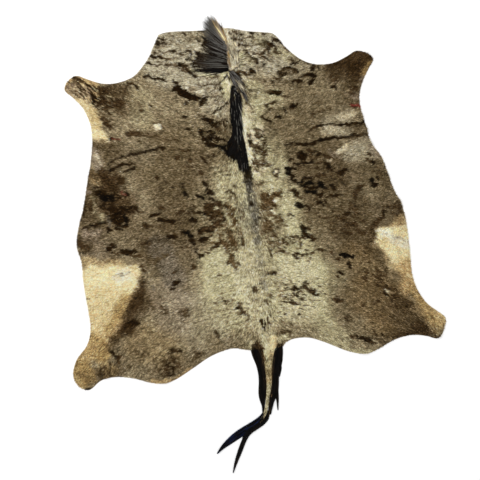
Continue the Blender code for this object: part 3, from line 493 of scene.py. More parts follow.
# The left foreleg, belly and hind leg
LEFT_EDGE_MARKS = table(Mark, (
    (-572, 548, -520, 535, 16, INK, 8, 0.8, 0.3), (-560, 516, -480, 508, 13, UMBER, 10, 0.75, 0.3),
    (-552, 470, -530, 432, 16, BROWN, 12, 0.7, 0.2), (-545, 440, -528, 420, 9, UMBER, 4, 0.82),
    (-596, 490, -582, 440, 12, GOLD, 14, 0.7), (-600, 392, -560, 372, 8, CREAM, 4, 0.94),
    (-560, 372, -536, 364, 5, CREAM, 4, 0.88), (-546, 582, -505, 576, 9, UMBER),
    (-572, 556, -500, 560, 12, UMBER, 5, 0.95, 0.05), (-586, 546, -544, 540, 11, INK, 5, 0.9, 0.05),
    (-500, 585, -456, 580, 8, BROWN, 10, 0.8), (-500, 556, -452, 552, 12, BROWN, 12, 0.8),
    (-526, 552, -506, 545, 1.5, PALE, 3, 0.5), (-560, 516, -470, 514, 13, UMBER, 8, 0.85, 0.2),
    (-476, 522, -460, 510, 4, UMBER), (-528, 490, -518, 474, 3, UMBER),
    (-490, 480, -470, 470, 5, BROWN, 4, 0.82, 0.2), (-558, 462, -546, 450, 5, UMBER, 4, 0.88, 0.1),
    (-554, 437, -524, 422, 6, UMBER, 4, 0.91, 0.1), (-596, 392, -542, 366, 9, CREAM, 5, 0.8),
    (-614, 350, -545, 346, 15, BROWN, 10, 0.75), (-614, 318, -600, 262, 16, MAUVE, 12, 0.7),
    (-600, 312, -594, 268, 3, WHITE, 5, 0.5), (-612, 312, -610, 280, 2, WHITE, 5, 0.4),
    (-636, 240, -608, 214, 14, RUST, 8, 0.75, 0.1), (-636, 200, -606, 192, 8, GOLD, 8, 0.45, 0.1),
    (-590, 240, -576, 206, 13, UMBER, 5, 0.9, 0.05), (-580, 200, -514, 188, 14, UMBER, 5, 0.92, 0.05),
    (-590, 168, -540, 164, 13, UMBER, 6, 0.85, 0.05), (-616, 156, -590, 124, 14, INK, 6, 0.9, 0.15),
    (-598, 122, -566, 118, 12, BLACK, 5, 0.9, 0.05), (-545, 134, -530, 118, 9, INK, 4, 0.88, 0.2),
    (-518, 138, -502, 120, 2.5, SCAR, 3, 0.6), (-500, 136, -496, 124, 3, INK),
    (-666, 166, -652, 158, 6, MAUVE, 4, 0.82), (-676, 110, -690, 60, 4, INK, 4, 0.88, 0.1),
    (-646, 130, -640, 70, 5, PALE, 8, 0.35, 0.2), (-662, 120, -656, 80, 5, UMBER, 4, 0.82, 0.2),
    (-600, 92, -580, 76, 10, INK, 6, 0.8, 0.2), (-568, 62, -530, 60, 14, INK, 6, 0.93, 0.14),
    (-520, 66, -468, 63, 8, INK, 6, 0.92, 0.12), (-568, 38, -526, 12, 19, INK, 6, 0.94, 0.12),
    (-520, 40, -516, 6, 6, BLACK, 4), (-485, 50, -450, 44, 6, UMBER, 4, 0.82, 0.15),
    (-592, 42, -590, 6, 4, SLATE, 5, 0.6), (-616, 54, -626, 20, 4, PALE, 6, 0.5),
    # The ink line from (-706, 7) to (-604, 23) is painted shade in the crease there
    (-706, 7, -660, 14, 4, INK), (-660, 15, -604, 23, 5.5, INK),
    (-700, -10, -640, -14, 9, MAUVE, 10, 0.6), (-602, -8, -590, -18, 6, INK),
    (-565, -6, -540, -16, 6, INK, 3, 0.94, 0.15), (-734, -46, -716, -60, 9, UMBER, 5, 0.9),
    (-716, -64, -692, -80, 7, UMBER, 5, 0.9), (-734, -90, -704, -88, 5, BROWN, 5, 0.8),
    (-690, -30, -660, -40, 14, MAUVE, 14, 0.3), (-616, -94, -580, -84, 5.5, INK),
    (-598, -78, -588, -76, 4, INK), (-556, -108, -500, -114, 8, INK),
    (-540, -120, -520, -124, 5, INK), (-516, -130, -482, -140, 4, UMBER),
    (-604, -104, -560, -118, 2, UMBER, 3, 0.8), (-478, -184, -470, -200, 6, UMBER),
    (-458, -90, -430, -92, 6, UMBER, 3, 0.8, 0.1), (-468, -130, -440, -160, 8, BROWN, 10, 0.6, 0.2),
    # The white mark from (-548, -212) to (-575, -218) is a painted highlight on the pale hind leg
    (-444, -172, -400, -168, 6, BROWN, 8, 0.6), (-548, -212, -575, -218, 16, WHITE, 26, 0.7),
    (-582, -206, -562, -210, 1.5, SLATE, 3, 0.6, 0.15), (-602, -208, -596, -212, 1, SLATE, 3, 0.5),
    # The olive line from (-728, -284) to (-716, -288) is painted shade in the crease there
    (-548, -204, -530, -202, 1.5, SLATE, 3, 0.6, 0.1), (-728, -284, -716, -288, 3, OLIVE, 4, 0.85),
    (-556, -310, -636, -440, 8, TAN, 34, 0.6), (-486, -248, -496, -300, 9, UMBER, 16, 0.75, 0.05),
    (-480, -312, -474, -345, 11, BROWN, 14, 0.8, 0.1), (-506, -296, -528, -345, 12, UMBER, 20, 0.75),
    (-532, -345, -570, -400, 10, UMBER, 24, 0.7), (-570, -428, -532, -416, 9, INK, 8, 0.9),
    (-600, -430, -565, -440, 12, UMBER, 12, 0.8), (-638, -470, -604, -440, 12, UMBER, 18, 0.75),
    (-655, -505, -628, -490, 8, BROWN, 16, 0.7), (-640, -440, -612, -405, 8, GOLD, 20, 0.6),
    (-664, -518, -650, -535, 4, INK), (-647, -540, -632, -552, 5, INK),
    (-628, -552, -630, -576, 7, UMBER), (-596, -530, -584, -524, 5, BROWN, 5, 0.7, 0.1),
    (-548, -538, -520, -556, 7, BROWN, 6, 0.7, 0.2), (-596, -602, -584, -600, 4, BROWN, 4, 0.8),
    (-706, -576, -712, -632, 2.5, INK, 3, 0.85), (-722, -590, -720, -634, 1.5, UMBER, 3, 0.7),
    (-667, -560, -674, -632, 3, INK, 3, 0.85), (-690, -585, -698, -636, 3, UMBER, 3, 0.7),
    (-682, -600, -684, -636, 2, UMBER, 3, 0.7), (-654, -606, -642, -622, 3, BROWN, 4, 0.7),
    (-784, -560, -776, -640, 14, TAN, 18, 0.5, 0.2), (-790, -600, -770, -630, 10, RUST, 10, 0.4, 0.3),
    (-760, -540, -740, -640, 5, TAN, 10, 0.5, 0.2), (-780, -670, -764, -670, 5, BLACK, 4),
    (-812, -640, -800, -652, 6, GOLD, 8, 0.6), (-654, 649, -642, 641, 5, UMBER),
    (-632, 640, -622, 624, 5, UMBER), (-674, 630, -662, 614, 2.5, UMBER),
    (-692, 610, -682, 604, 3.5, UMBER), (-668, 598, -612, 574, 20, MAUVE, 16, 0.55),
    (-652, 632, -628, 600, 6, BROWN, 5, 0.75, 0.15), (-640, 622, -612, 590, 3, UMBER, 3, 0.85, 0.15),
    (-614, 622, -588, 594, 3, UMBER, 3, 0.9, 0.1), (-606, 612, -578, 588, 2, INK, 3, 0.92),
    (-590, 602, -566, 580, 3, INK, 3, 0.92), (-577, 606, -556, 584, 2.5, UMBER),
    (-598, 592, -582, 572, 2, UMBER), (-566, 596, -546, 584, 2.5, UMBER),
    (-656, 594, -622, 558, 2, UMBER, 3, 0.88), (-668, 592, -640, 560, 1.5, BROWN, 3, 0.85),
    (-644, 606, -618, 576, 2, UMBER, 3, 0.85), (-630, 596, -606, 566, 1.5, BROWN, 3, 0.85),
    (-594, 570, -588, 564, 4, INK), (-574, 592, -558, 580, 1.5, PALE, 3, 0.7),
    (-534, 369, -526, 367, 4.5, BLACK), (-522, 365, -502, 362, 4.5, SCAR, 3, 0.6),
))

# The hindquarters, left of the tail and right of it
RUMP_MARKS = table(Mark, (
    (-540, -540, -510, -556, 7, BROWN, 8, 0.6, 0.3), (-500, -520, -440, -530, 6, BROWN, 8, 0.4, 0.3),
    (-500, -678, -420, -686, 8, SAND, 10, 0.7), (-18, -344, -12, -352, 7, UMBER, 4, 0.82),
    (22, -478, 22, -498, 4, UMBER, 4, 0.82), (-20, -600, -22, -650, 6, RUST, 4, 0.88),
    (30, -566, 30, -620, 9, CREAM, 10, 0.6), (-4, -540, -2, -680, 5, PALE, 8, 0.6),
    # The umber line from (714, -560) to (720, -650) is painted shade in the crease there
    (570, -470, 620, -510, 16, UMBER, 16, 0.75, 0.15), (714, -560, 720, -650, 2.5, UMBER, 3, 0.88),
    (702, -654, 732, -654, 5, UMBER, 4, 0.88), (-336, -398, -312, -404, 10, UMBER, 9, 0.7, 0.2),
    (-322, -410, -318, -426, 6, BROWN, 6, 0.6, 0.2), (-414, -370, -398, -386, 6, UMBER, 4, 0.75, 0.2),
    (-192, -384, -184, -382, 4, UMBER), (-152, -372, -136, -378, 5, UMBER, 3, 0.9, 0.1),
    (-238, -380, -235, -383, 3, UMBER), (-142, -392, -130, -398, 4, BROWN, 3, 0.85, 0.2),
    (-143, -412, -139, -438, 4, BROWN, 4, 0.8, 0.2), (-104, -414, -84, -416, 5, INK, 3, 0.9, 0.1),
    (-92, -396, -82, -412, 5, UMBER, 3, 0.9, 0.2), (-86, -418, -76, -440, 6, UMBER, 3, 0.9, 0.15),
    (-104, -432, -94, -438, 4, BROWN, 4, 0.8, 0.2), (-60, -446, -54, -452, 3, BROWN, 3, 0.8),
    (-68, -473, -60, -470, 3, UMBER, 3, 0.85), (-50, -478, -48, -486, 2.5, BROWN, 3, 0.8),
    (-54, -400, -50, -404, 3, BROWN, 3, 0.8), (-209, -503, -206, -508, 4, INK),
    (-198, -517, -194, -522, 4, INK), (-203, -532, -201, -535, 4, CREAM),
    (-222, -535, -206, -578, 16, OLIVE, 24, 0.65), (-60, -530, -40, -552, 12, OLIVE, 18, 0.6),
    (-128, -572, -90, -578, 8, OLIVE, 10, 0.6, 0.15), (-2, -480, 2, -516, 4, INK),
    (-20, -600, -22, -650, 4, RUST, 4, 0.9), (-400, -556, -366, -560, 7, INK, 4, 0.85, 0.2),
    (-412, -572, -400, -584, 6, BROWN, 4, 0.8, 0.1), (-438, -590, -430, -650, 7, UMBER, 4, 0.85, 0.25),
    (-418, -600, -408, -652, 6, INK, 4, 0.85, 0.25), (-396, -596, -376, -636, 7, UMBER, 4, 0.85, 0.25),
    (-330, -608, -270, -588, 7, BROWN, 4, 0.82, 0.2), (-310, -576, -290, -584, 6, UMBER, 5, 0.7, 0.2),
    (-390, -672, -330, -644, 4, SAND, 8, 0.5), (48, -562, 60, -546, 5, OLIVE, 6, 0.8),
    (60, -545, 84, -540, 6, BROWN, 5, 0.85), (84, -540, 112, -549, 6, BROWN, 5, 0.85),
    (60, -566, 90, -560, 8, PALE, 10, 0.5), (86, -506, 92, -508, 4, BROWN, 4, 0.8),
    (106, -512, 122, -514, 6, BROWN, 4, 0.75, 0.2), (52, -598, 66, -602, 9, UMBER, 9, 0.85),
    (36, -560, 30, -600, 8, CREAM, 8, 0.6), (136, -371, 148, -372, 5, UMBER, 3, 0.92),
    (148, -366, 162, -363, 5, UMBER, 3, 0.92), (160, -368, 182, -367, 4, INK, 3, 0.92, 0.1),
    (194, -364, 200, -354, 7, INK, 3, 0.92), (202, -366, 206, -374, 6, UMBER, 3, 0.92),
    (206, -354, 216, -352, 4, UMBER, 3, 0.9), (216, -382, 228, -392, 7, UMBER, 4, 0.88, 0.15),
    (232, -398, 248, -402, 6, INK, 4, 0.85, 0.15), (240, -382, 244, -386, 4, UMBER, 3, 0.88),
    (160, -396, 164, -398, 4, INK), (190, -394, 194, -396, 3.5, UMBER),
    (134, -403, 137, -405, 3, UMBER), (178, -414, 188, -412, 3, UMBER, 3, 0.9),
    (128, -420, 144, -424, 4, UMBER, 3, 0.92), (146, -428, 158, -428, 4.5, UMBER, 3, 0.92),
    (144, -384, 148, -388, 3, UMBER), (60, -290, 74, -291, 3.5, UMBER),
    (24, -320, 30, -350, 8, SLATE, 10, 0.5, 0.1), (48, -383, 50, -388, 3.5, UMBER),
    (16, -404, 30, -408, 4, BROWN, 4, 0.85), (32, -416, 36, -422, 3, BROWN, 3, 0.85),
    (30, -462, 32, -466, 3, UMBER), (24, -486, 28, -500, 4, UMBER),
    (155, -476, 159, -479, 3.5, UMBER), (97, -462, 99, -466, 3, UMBER),
    (140, -328, 144, -334, 3, BROWN, 3, 0.88), (312, -432, 330, -438, 7, UMBER),
    (328, -440, 346, -444, 5, UMBER, 3, 0.92), (354, -506, 364, -516, 6, UMBER, 4, 0.85, 0.15),
    (356, -522, 372, -530, 6, BROWN, 4, 0.85, 0.15), (346, -518, 350, -522, 3.5, UMBER),
    (396, -288, 402, -312, 5, INK), (352, -322, 362, -332, 5, INK),
    (342, -338, 345, -341, 3, UMBER), (472, -332, 474, -342, 3.5, UMBER),
    (462, -346, 460, -362, 6, UMBER, 3, 0.9), (450, -368, 462, -378, 6, UMBER, 3, 0.9),
    (490, -352, 496, -362, 5, UMBER, 4, 0.88), (506, -326, 516, -344, 5, UMBER, 4, 0.8),
    (526, -352, 544, -362, 6, UMBER, 4, 0.88, 0.15), (514, -366, 526, -384, 6, UMBER, 5, 0.8, 0.15),
    (548, -330, 552, -350, 5, BROWN, 6, 0.8), (506, -398, 520, -412, 6, UMBER, 4, 0.88, 0.15),
    (536, -408, 552, -420, 6, UMBER, 4, 0.85, 0.15), (518, -432, 534, -446, 5, INK, 3, 0.9, 0.15),
    (538, -420, 542, -436, 3, WHITE, 3, 0.9), (572, -426, 590, -436, 4, UMBER, 4, 0.8),
    (568, -452, 578, -472, 8, UMBER, 5, 0.85, 0.1), (498, -462, 501, -470, 4, UMBER),
    (430, -466, 434, -478, 5, UMBER, 3, 0.9), (460, -490, 470, -500, 3, BROWN, 3, 0.85),
    (608, -496, 616, -502, 4, INK), (590, -480, 620, -520, 12, BROWN, 14, 0.6, 0.1),
    (560, -550, 600, -600, 20, BROWN, 24, 0.5), (626, -560, 656, -600, 15, BROWN, 18, 0.85),
    (646, -596, 690, -628, 12, UMBER, 14, 0.75), (560, -622, 640, -624, 7, UMBER, 10, 0.6),
    (396, -608, 412, -618, 6, INK, 4, 0.9, 0.05), (412, -616, 444, -626, 8, INK, 4, 0.9, 0.1),
    (376, -602, 360, -598, 4, UMBER, 3, 0.9), (462, -590, 468, -612, 3.5, UMBER, 3, 0.88),
    (470, -606, 462, -624, 2.5, UMBER, 3, 0.85), (490, -610, 494, -616, 4, INK),
    (440, -636, 462, -646, 4, UMBER, 3, 0.85, 0.15), (480, -636, 500, -650, 6, BROWN, 6, 0.7),
    (366, -662, 430, -678, 6, PALE, 12, 0.6), (500, -556, 512, -562, 3, BROWN, 4, 0.8),
    (540, -500, 556, -512, 4, BROWN, 5, 0.7), (-34, -584, -28, -604, 10, UMBER, 9, 0.9),
    (-52, -590, -54, -604, 6, INK, 8, 0.85),
))

# The right side from the shoulder to the flank
RIGHT_SIDE_MARKS = table(Mark, (
    (218, 550, 236, 562, 5, INK, 4, 0.94), (236, 563, 264, 564, 5, INK, 4, 0.94),
    (264, 562, 290, 546, 5, INK, 4, 0.91), (222, 546, 276, 548, 10, BROWN, 6, 0.75, 0.1),
    (212, 541, 240, 538, 4, INK, 4, 0.88, 0.1), (273, 578, 302, 586, 3.5, INK, 4, 0.91, 0.1),
    (330, 578, 350, 568, 4, UMBER, 3, 0.6), (357, 544, 360, 560, 5, INK, 4, 0.91),
    (366, 560, 382, 552, 2.5, UMBER, 4, 0.6), (382, 552, 387, 538, 3.5, INK, 4, 0.91),
    (312, 524, 350, 520, 4, INK, 4, 0.94), (340, 524, 364, 515, 5, INK, 4, 0.94),
    (354, 503, 340, 487, 5, INK, 4, 0.94), (270, 501, 284, 505, 5, INK, 4, 0.91),
    (296, 512, 302, 502, 5, INK, 4, 0.88), (170, 470, 204, 464, 7, INK),
    (150, 478, 170, 474, 3, UMBER, 4, 0.5), (212, 452, 226, 446, 5, BROWN),
    (430, 458, 444, 454, 5, INK), (136, 418, 180, 426, 4, UMBER, 3, 0.95, 0.2),
    (150, 400, 164, 406, 3, BROWN), (240, 399, 256, 400, 5, INK, 3, 0.94),
    (254, 408, 270, 406, 5, INK, 3, 0.94), (215, 392, 219, 380, 5, INK, 3, 0.91),
    (340, 440, 364, 430, 6, BROWN, 3, 0.95, 0.3), (350, 408, 372, 402, 5, BROWN, 3, 0.95, 0.3),
    (118, 376, 128, 362, 3.5, INK, 3, 0.94), (128, 362, 147, 350, 3.5, INK, 3, 0.94),
    (182, 367, 190, 361, 6, INK, 3, 0.94), (322, 346, 334, 364, 3.5, UMBER, 3, 0.88, 0.1),
    (326, 346, 360, 362, 6, BROWN, 4, 0.82, 0.25), (360, 362, 410, 372, 6, BROWN, 4, 0.82, 0.25),
    (440, 386, 470, 392, 6, BROWN, 10, 0.5, 0.3), (572, 92, 580, 70, 6, UMBER, 8, 0.5, 0.2),
    (500, -230, 540, -300, 14, BROWN, 20, 0.6), (556, -310, 600, -370, 8, BROWN, 20, 0.3),
    # From here to the brown band from (486, 226) to (545, 222): painted shade, dark lines in the two creases
    # and a band under the upper one
    (300, 285, 345, 302, 2.5, UMBER), (345, 303, 400, 301, 3, INK),
    (400, 300, 450, 296, 3.5, INK), (450, 296, 548, 291, 4, INK, 4, 0.94),
    (200, 242, 240, 243, 5, INK, 3, 0.95, 0.05), (210, 236, 236, 232, 4, UMBER, 3, 0.91, 0.2),
    (246, 237, 302, 232, 3.5, INK), (306, 232, 345, 239, 3.5, INK),
    (345, 240, 400, 244, 5, INK), (400, 243, 480, 243, 5, INK),
    (480, 242, 546, 235, 5.5, INK, 4, 0.94), (486, 226, 545, 222, 8, BROWN, 12, 0.7),
    (490, 272, 545, 262, 12, BROWN, 14, 0.6), (202, 226, 234, 222, 5, OLIVE, 4, 0.88, 0.1),
    (250, 190, 280, 187, 8, INK, 3, 0.95, 0.05), (256, 178, 272, 175, 5, INK),
    (262, 202, 268, 197, 4, INK), (290, 206, 312, 201, 4, UMBER, 3, 0.94, 0.15),
    (300, 192, 304, 178, 4, UMBER, 3, 0.94, 0.1), (318, 193, 340, 186, 5, INK, 3, 0.95, 0.1),
    (204, 182, 220, 177, 3.5, INK), (222, 157, 252, 152, 3.5, INK, 3, 0.95, 0.05),
    (258, 160, 306, 152, 4, INK, 3, 0.95, 0.05), (354, 174, 372, 166, 4, UMBER, 3, 0.94, 0.1),
    (380, 166, 396, 158, 4, UMBER, 3, 0.88, 0.1), (364, 153, 382, 150, 3, WHITE, 3, 0.6),
    (194, 140, 197, 116, 8, BLACK), (212, 142, 224, 138, 4, INK, 3, 0.95, 0.05),
    (206, 112, 214, 108, 4, INK), (356, 140, 370, 132, 5, INK),
    (360, 122, 374, 116, 5, INK, 3, 0.95, 0.05), (208, 92, 226, 84, 6, INK),
    (234, 76, 250, 88, 7, BLACK), (252, 92, 284, 88, 6, INK),
    (300, 95, 330, 93, 2.5, UMBER, 3, 0.94, 0.1), (408, 98, 424, 92, 4.5, INK),
    (428, 105, 442, 99, 5, INK), (402, 80, 418, 64, 2.5, UMBER, 3, 0.94, 0.1),
    (250, 63, 292, 67, 5, BLACK), (252, 50, 300, 46, 5, INK, 3, 0.95, 0.15),
    (258, 35, 300, 29, 5.5, BLACK), (298, 44, 320, 52, 5, INK),
    (322, 64, 334, 46, 8, BLACK), (370, 42, 382, 32, 7, INK),
    (304, 16, 322, 10, 6, INK), (362, 8, 368, -5, 3, INK),
    (374, 2, 398, 0, 4, INK, 3, 0.95, 0.1), (212, -12, 226, -23, 8, BLACK),
    (250, -30, 264, -38, 5, INK), (298, -17, 322, -25, 6, INK),
    (334, -14, 339, -32, 3, INK), (541, 46, 548, 22, 7, BLACK),
    (554, 24, 562, 8, 3.5, INK), (562, 58, 570, 50, 4, INK),
    (551, 123, 562, 115, 6, INK), (540, 156, 549, 152, 5, UMBER),
    (536, 134, 540, 126, 3, UMBER), (458, -28, 470, 4, 5, UMBER, 4, 0.88),
    (470, 4, 486, 26, 8, UMBER, 4, 0.91, 0.05), (486, 26, 506, 28, 6, UMBER, 4, 0.82, 0.1),
    (136, -50, 142, -70, 4, BROWN, 3, 0.91, 0.1), (170, -53, 190, -62, 3.5, INK),
    (176, -46, 182, -50, 3, UMBER), (246, -82, 256, -104, 4, BROWN, 3, 0.94, 0.15),
    (224, -112, 230, -128, 7, INK), (226, -130, 234, -150, 8, INK),
    (242, -114, 250, -128, 4, UMBER), (212, -150, 222, -156, 4, UMBER, 3, 0.94, 0.1),
    (250, -156, 262, -168, 6, UMBER), (252, -178, 266, -172, 5, UMBER),
    (134, -146, 200, -148, 2.5, UMBER, 3, 0.91, 0.1), (134, -164, 150, -174, 6, RUST, 3, 0.94, 0.15),
    (204, -182, 208, -190, 4, UMBER), (168, -224, 186, -242, 4, UMBER, 3, 0.95, 0.05),
    (178, -216, 192, -222, 4, UMBER), (204, -232, 226, -231, 3.5, UMBER, 3, 0.95, 0.05),
    (242, -226, 252, -220, 5, UMBER), (276, -214, 292, -218, 3.5, UMBER),
    (220, -242, 227, -264, 1.2, BROWN), (227, -264, 238, -242, 1.2, BROWN),
    (374, -253, 410, -265, 8, BLACK), (330, -236, 334, -246, 3, UMBER),
    (350, -266, 362, -270, 3, UMBER), (64, -290, 82, -293, 4, INK),
    (606, -84, 640, -92, 9, UMBER, 8, 0.85, 0.1), (640, -64, 650, -100, 6, UMBER, 4, 0.88),
    (610, -110, 626, -116, 5, UMBER, 5, 0.8, 0.15), (578, -74, 574, -92, 4, UMBER, 4, 0.9),
    (572, -98, 566, -114, 6, INK, 4, 0.92), (560, -118, 544, -132, 6, UMBER, 5, 0.88, 0.1),
    (540, -138, 520, -150, 6, UMBER, 6, 0.85, 0.1), (514, -162, 508, -200, 9, UMBER, 9, 0.9),
    (500, -170, 498, -196, 12, BROWN, 12, 0.8), (440, -50, 458, -80, 8, UMBER, 6, 0.8, 0.2),
    (456, -84, 452, -104, 6, UMBER, 5, 0.8, 0.2), (410, -78, 422, -80, 6, INK, 4, 0.88, 0.1),
    (386, -98, 400, -106, 6, UMBER, 4, 0.88, 0.15), (404, -130, 432, -128, 6, UMBER, 4, 0.88, 0.15),
    (432, -128, 452, -138, 5, UMBER, 4, 0.85, 0.2), (456, -160, 474, -174, 6, UMBER, 4, 0.85, 0.15),
    (392, -152, 420, -166, 4, UMBER, 4, 0.8, 0.2), (480, -120, 496, -140, 6, UMBER, 5, 0.75, 0.2),
    (204, 44, 220, 30, 7, INK), (214, 22, 230, 12, 6, UMBER, 3, 0.92, 0.1),
    (192, 56, 200, 48, 4, UMBER, 3, 0.9),
))

# The right foreleg, the flank's folds with painted highlights on their ridges, and the pale hind leg with a
# painted highlight band
RIGHT_EDGE_MARKS = table(Mark, (
    (452, 548, 580, 572, 20, UMBER, 16, 0.75, 0.1), (540, 580, 590, 566, 12, RUST, 14, 0.45),
    (462, 500, 440, 520, 12, BROWN, 20, 0.6, 0.2), (440, 500, 450, 480, 7, UMBER, 10, 0.7, 0.3),
    # (372, 276) to (416, 284), (470, 262) to (430, 266), (490, 206) to (540, 214) and (452, 326) to (494,
    # 336) are painted highlights on the flank's fold ridges
    (522, 440, 510, 424, 8, UMBER, 10, 0.7, 0.2), (372, 276, 416, 284, 10, WHITE, 12, 0.35),
    (470, 262, 430, 266, 9, GREY, 14, 0.5), (490, 206, 540, 214, 12, GREY, 14, 0.45),
    (414, 182, 450, 194, 7, WHITE, 4, 0.79), (470, 178, 520, 190, 8, GREY, 14, 0.5),
    (380, 190, 410, 166, 6, MAUVE, 8, 0.5), (560, 178, 580, 150, 10, MAUVE, 12, 0.5),
    (620, -350, 646, -366, 8, SAND, 16, 0.4), (636, -372, 646, -380, 5, CREAM, 6, 0.6),
    (650, -440, 690, -500, 10, TAN, 18, 0.6), (700, -540, 730, -620, 12, TAN, 16, 0.5),
    (452, 326, 494, 336, 9, WHITE, 14, 0.5), (496, 372, 514, 368, 3, SCAR),
    (514, 368, 531, 362, 4.5, SCAR), (510, 412, 526, 404, 8, MAUVE, 12, 0.6),
    (592, 528, 570, 492, 8, TAN, 10, 0.75), (604, 542, 596, 532, 5, TAN, 4, 0.75),
    (566, 484, 556, 472, 5, MAUVE, 6, 0.6), (520, 440, 512, 428, 9, UMBER, 8, 0.8, 0.15),
    # The white marks from (542, -172) to (650, -246) are a painted highlight band across the pale panel; the
    # slate lines in it are the hair's own streaks
    (542, -172, 566, -188, 5, WHITE, 8, 0.9), (566, -188, 600, -214, 8, WHITE, 10, 0.9),
    (600, -220, 650, -246, 10, WHITE, 12, 0.9), (590, -198, 604, -214, 1.5, SLATE, 3, 0.6, 0.2),
    (612, -206, 640, -228, 1, SLATE, 3, 0.55, 0.2), (640, -230, 654, -238, 2, MAUVE, 3, 0.6, 0.1),
    (562, -186, 576, -206, 1, SLATE, 3, 0.45, 0.2),
))

# The pale mottled strip right of the mane's band, and its tail end down the back
SPINE_MARKS = table(Mark, (
    (92, 186, 116, 170, 9, BROWN, 3, 0.91, 0.3), (52, 172, 62, 158, 6, BROWN, 3, 0.82, 0.3),
    (58, 142, 74, 130, 6, WHITE, 4, 0.85, 0.2), (80, 150, 104, 146, 4, WHITE, 4, 0.5, 0.2),
    (131, 140, 134, 124, 4, UMBER, 3, 0.94), (134, 142, 152, 143, 4, UMBER, 3, 0.94),
    (153, 140, 152, 126, 3.5, UMBER, 3, 0.91), (136, 122, 148, 120, 3.5, UMBER, 3, 0.88),
    (142, 118, 143, 104, 4, BROWN, 3, 0.85), (144, 133, 146, 133, 3, WHITE, 3, 0.94),
    (60, 102, 80, 92, 7, RUST, 4, 0.82, 0.35), (54, 488, 58, 440, 4, UMBER, 4, 0.82, 0.15),
    (58, 440, 78, 402, 4, BROWN, 4, 0.82, 0.15), (24, 160, 22, 100, 11, BLACK, 9, 0.85),
    (22, 100, 22, 60, 10, SLATE, 10, 0.75, 0.1), (22, 60, 24, 0, 11, SLATE, 10, 0.6, 0.2),
    (28, -6, 34, -50, 11, SLATE, 12, 0.7, 0.15), (24, -70, 22, -140, 9, SLATE, 12, 0.5, 0.15),
    (22, -140, 20, -250, 7, SLATE, 12, 0.35, 0.2), (30, -290, 26, -300, 8, SLATE, 10, 0.4, 0.2),
    (84, -16, 100, -40, 14, RUST, 5, 0.85, 0.35), (50, -30, 60, -46, 8, BROWN, 4, 0.82, 0.3),
    (108, -30, 112, -36, 4, WHITE), (76, -62, 82, -98, 10, RUST, 6, 0.75, 0.1),
    (60, -100, 100, -116, 12, BROWN, 6, 0.7, 0.35), (98, -158, 108, -190, 8, BROWN, 4, 0.82, 0.35),
    (74, -184, 75, -214, 5.5, BROWN, 3, 0.91, 0.1), (118, -200, 142, -216, 5, BROWN, 3, 0.88, 0.2),
    (62, 310, 84, 262, 11, WHITE, 6, 0.8, 0.1), (100, 340, 104, 300, 8, WHITE, 6, 0.6, 0.1),
    (37, 380, 36, 250, 6, WHITE, 4, 0.8), (38, 246, 52, 186, 11, WHITE, 8, 0.75, 0.15),
    (55, 420, 62, 350, 9, WHITE, 8, 0.5, 0.15), (54, 312, 53, 288, 5, UMBER, 3, 0.93, 0.1),
    (51, 280, 52, 262, 5, INK, 3, 0.93, 0.1), (82, 322, 96, 314, 6, UMBER, 4, 0.85, 0.1),
    (84, 298, 102, 292, 6, UMBER, 3, 0.9, 0.1), (113, 304, 116, 282, 6, UMBER, 3, 0.9, 0.15),
    (111, 272, 112, 248, 7, UMBER, 3, 0.9, 0.2), (80, 252, 100, 240, 8, UMBER, 3, 0.9, 0.15),
    (62, 262, 70, 250, 4, BROWN, 3, 0.88), (88, 232, 104, 210, 10, UMBER, 3, 0.88, 0.2),
    (64, 238, 76, 228, 6, UMBER, 3, 0.88, 0.15), (60, 214, 66, 200, 5, BROWN, 3, 0.88),
    (112, 226, 118, 206, 5, UMBER, 3, 0.85, 0.15), (60, 190, 88, 176, 10, UMBER, 3, 0.9, 0.2),
    (19, 20, 20, 6, 3, INK, 4, 0.7), (76, 40, 84, 8, 16, RUST),
    (64, 44, 70, 36, 6, RUST), (96, 46, 92, 20, 6, RUST),
    (98, 12, 114, 2, 10, RUST), (112, 26, 126, 36, 8, RUST),
    (128, 38, 148, 44, 7, RUST), (136, 30, 148, 26, 6, RUST),
    (126, -2, 120, -16, 5, RUST), (66, 0, 74, -14, 8, RUST, 4, 0.88, 0.15),
    (125, 13, 127, 9, 4.5, WHITE), (106, -16, 100, -20, 3, RUST),
    (-86, 14, -60, -40, 14, RUST, 6, 0.75, 0.44), (-84, -60, -76, -170, 17, RUST, 6, 0.75, 0.42),
    (-48, -90, -42, -150, 11, RUST, 5, 0.8, 0.36), (-130, -60, -132, -110, 5, RUST, 4, 0.85, 0.2),
    (-148, 4, -116, -36, 20, UMBER, 5, 0.9, 0.3), (-30, -10, -20, -50, 8, BROWN, 5, 0.7, 0.36),
    (76, -50, 86, -120, 19, RUST, 8, 0.7, 0.4), (90, -130, 112, -190, 19, BROWN, 8, 0.75, 0.36),
    (140, -150, 200, -165, 13, BROWN, 6, 0.7, 0.4), (118, -60, 150, -90, 13, RUST, 6, 0.6, 0.42),
))

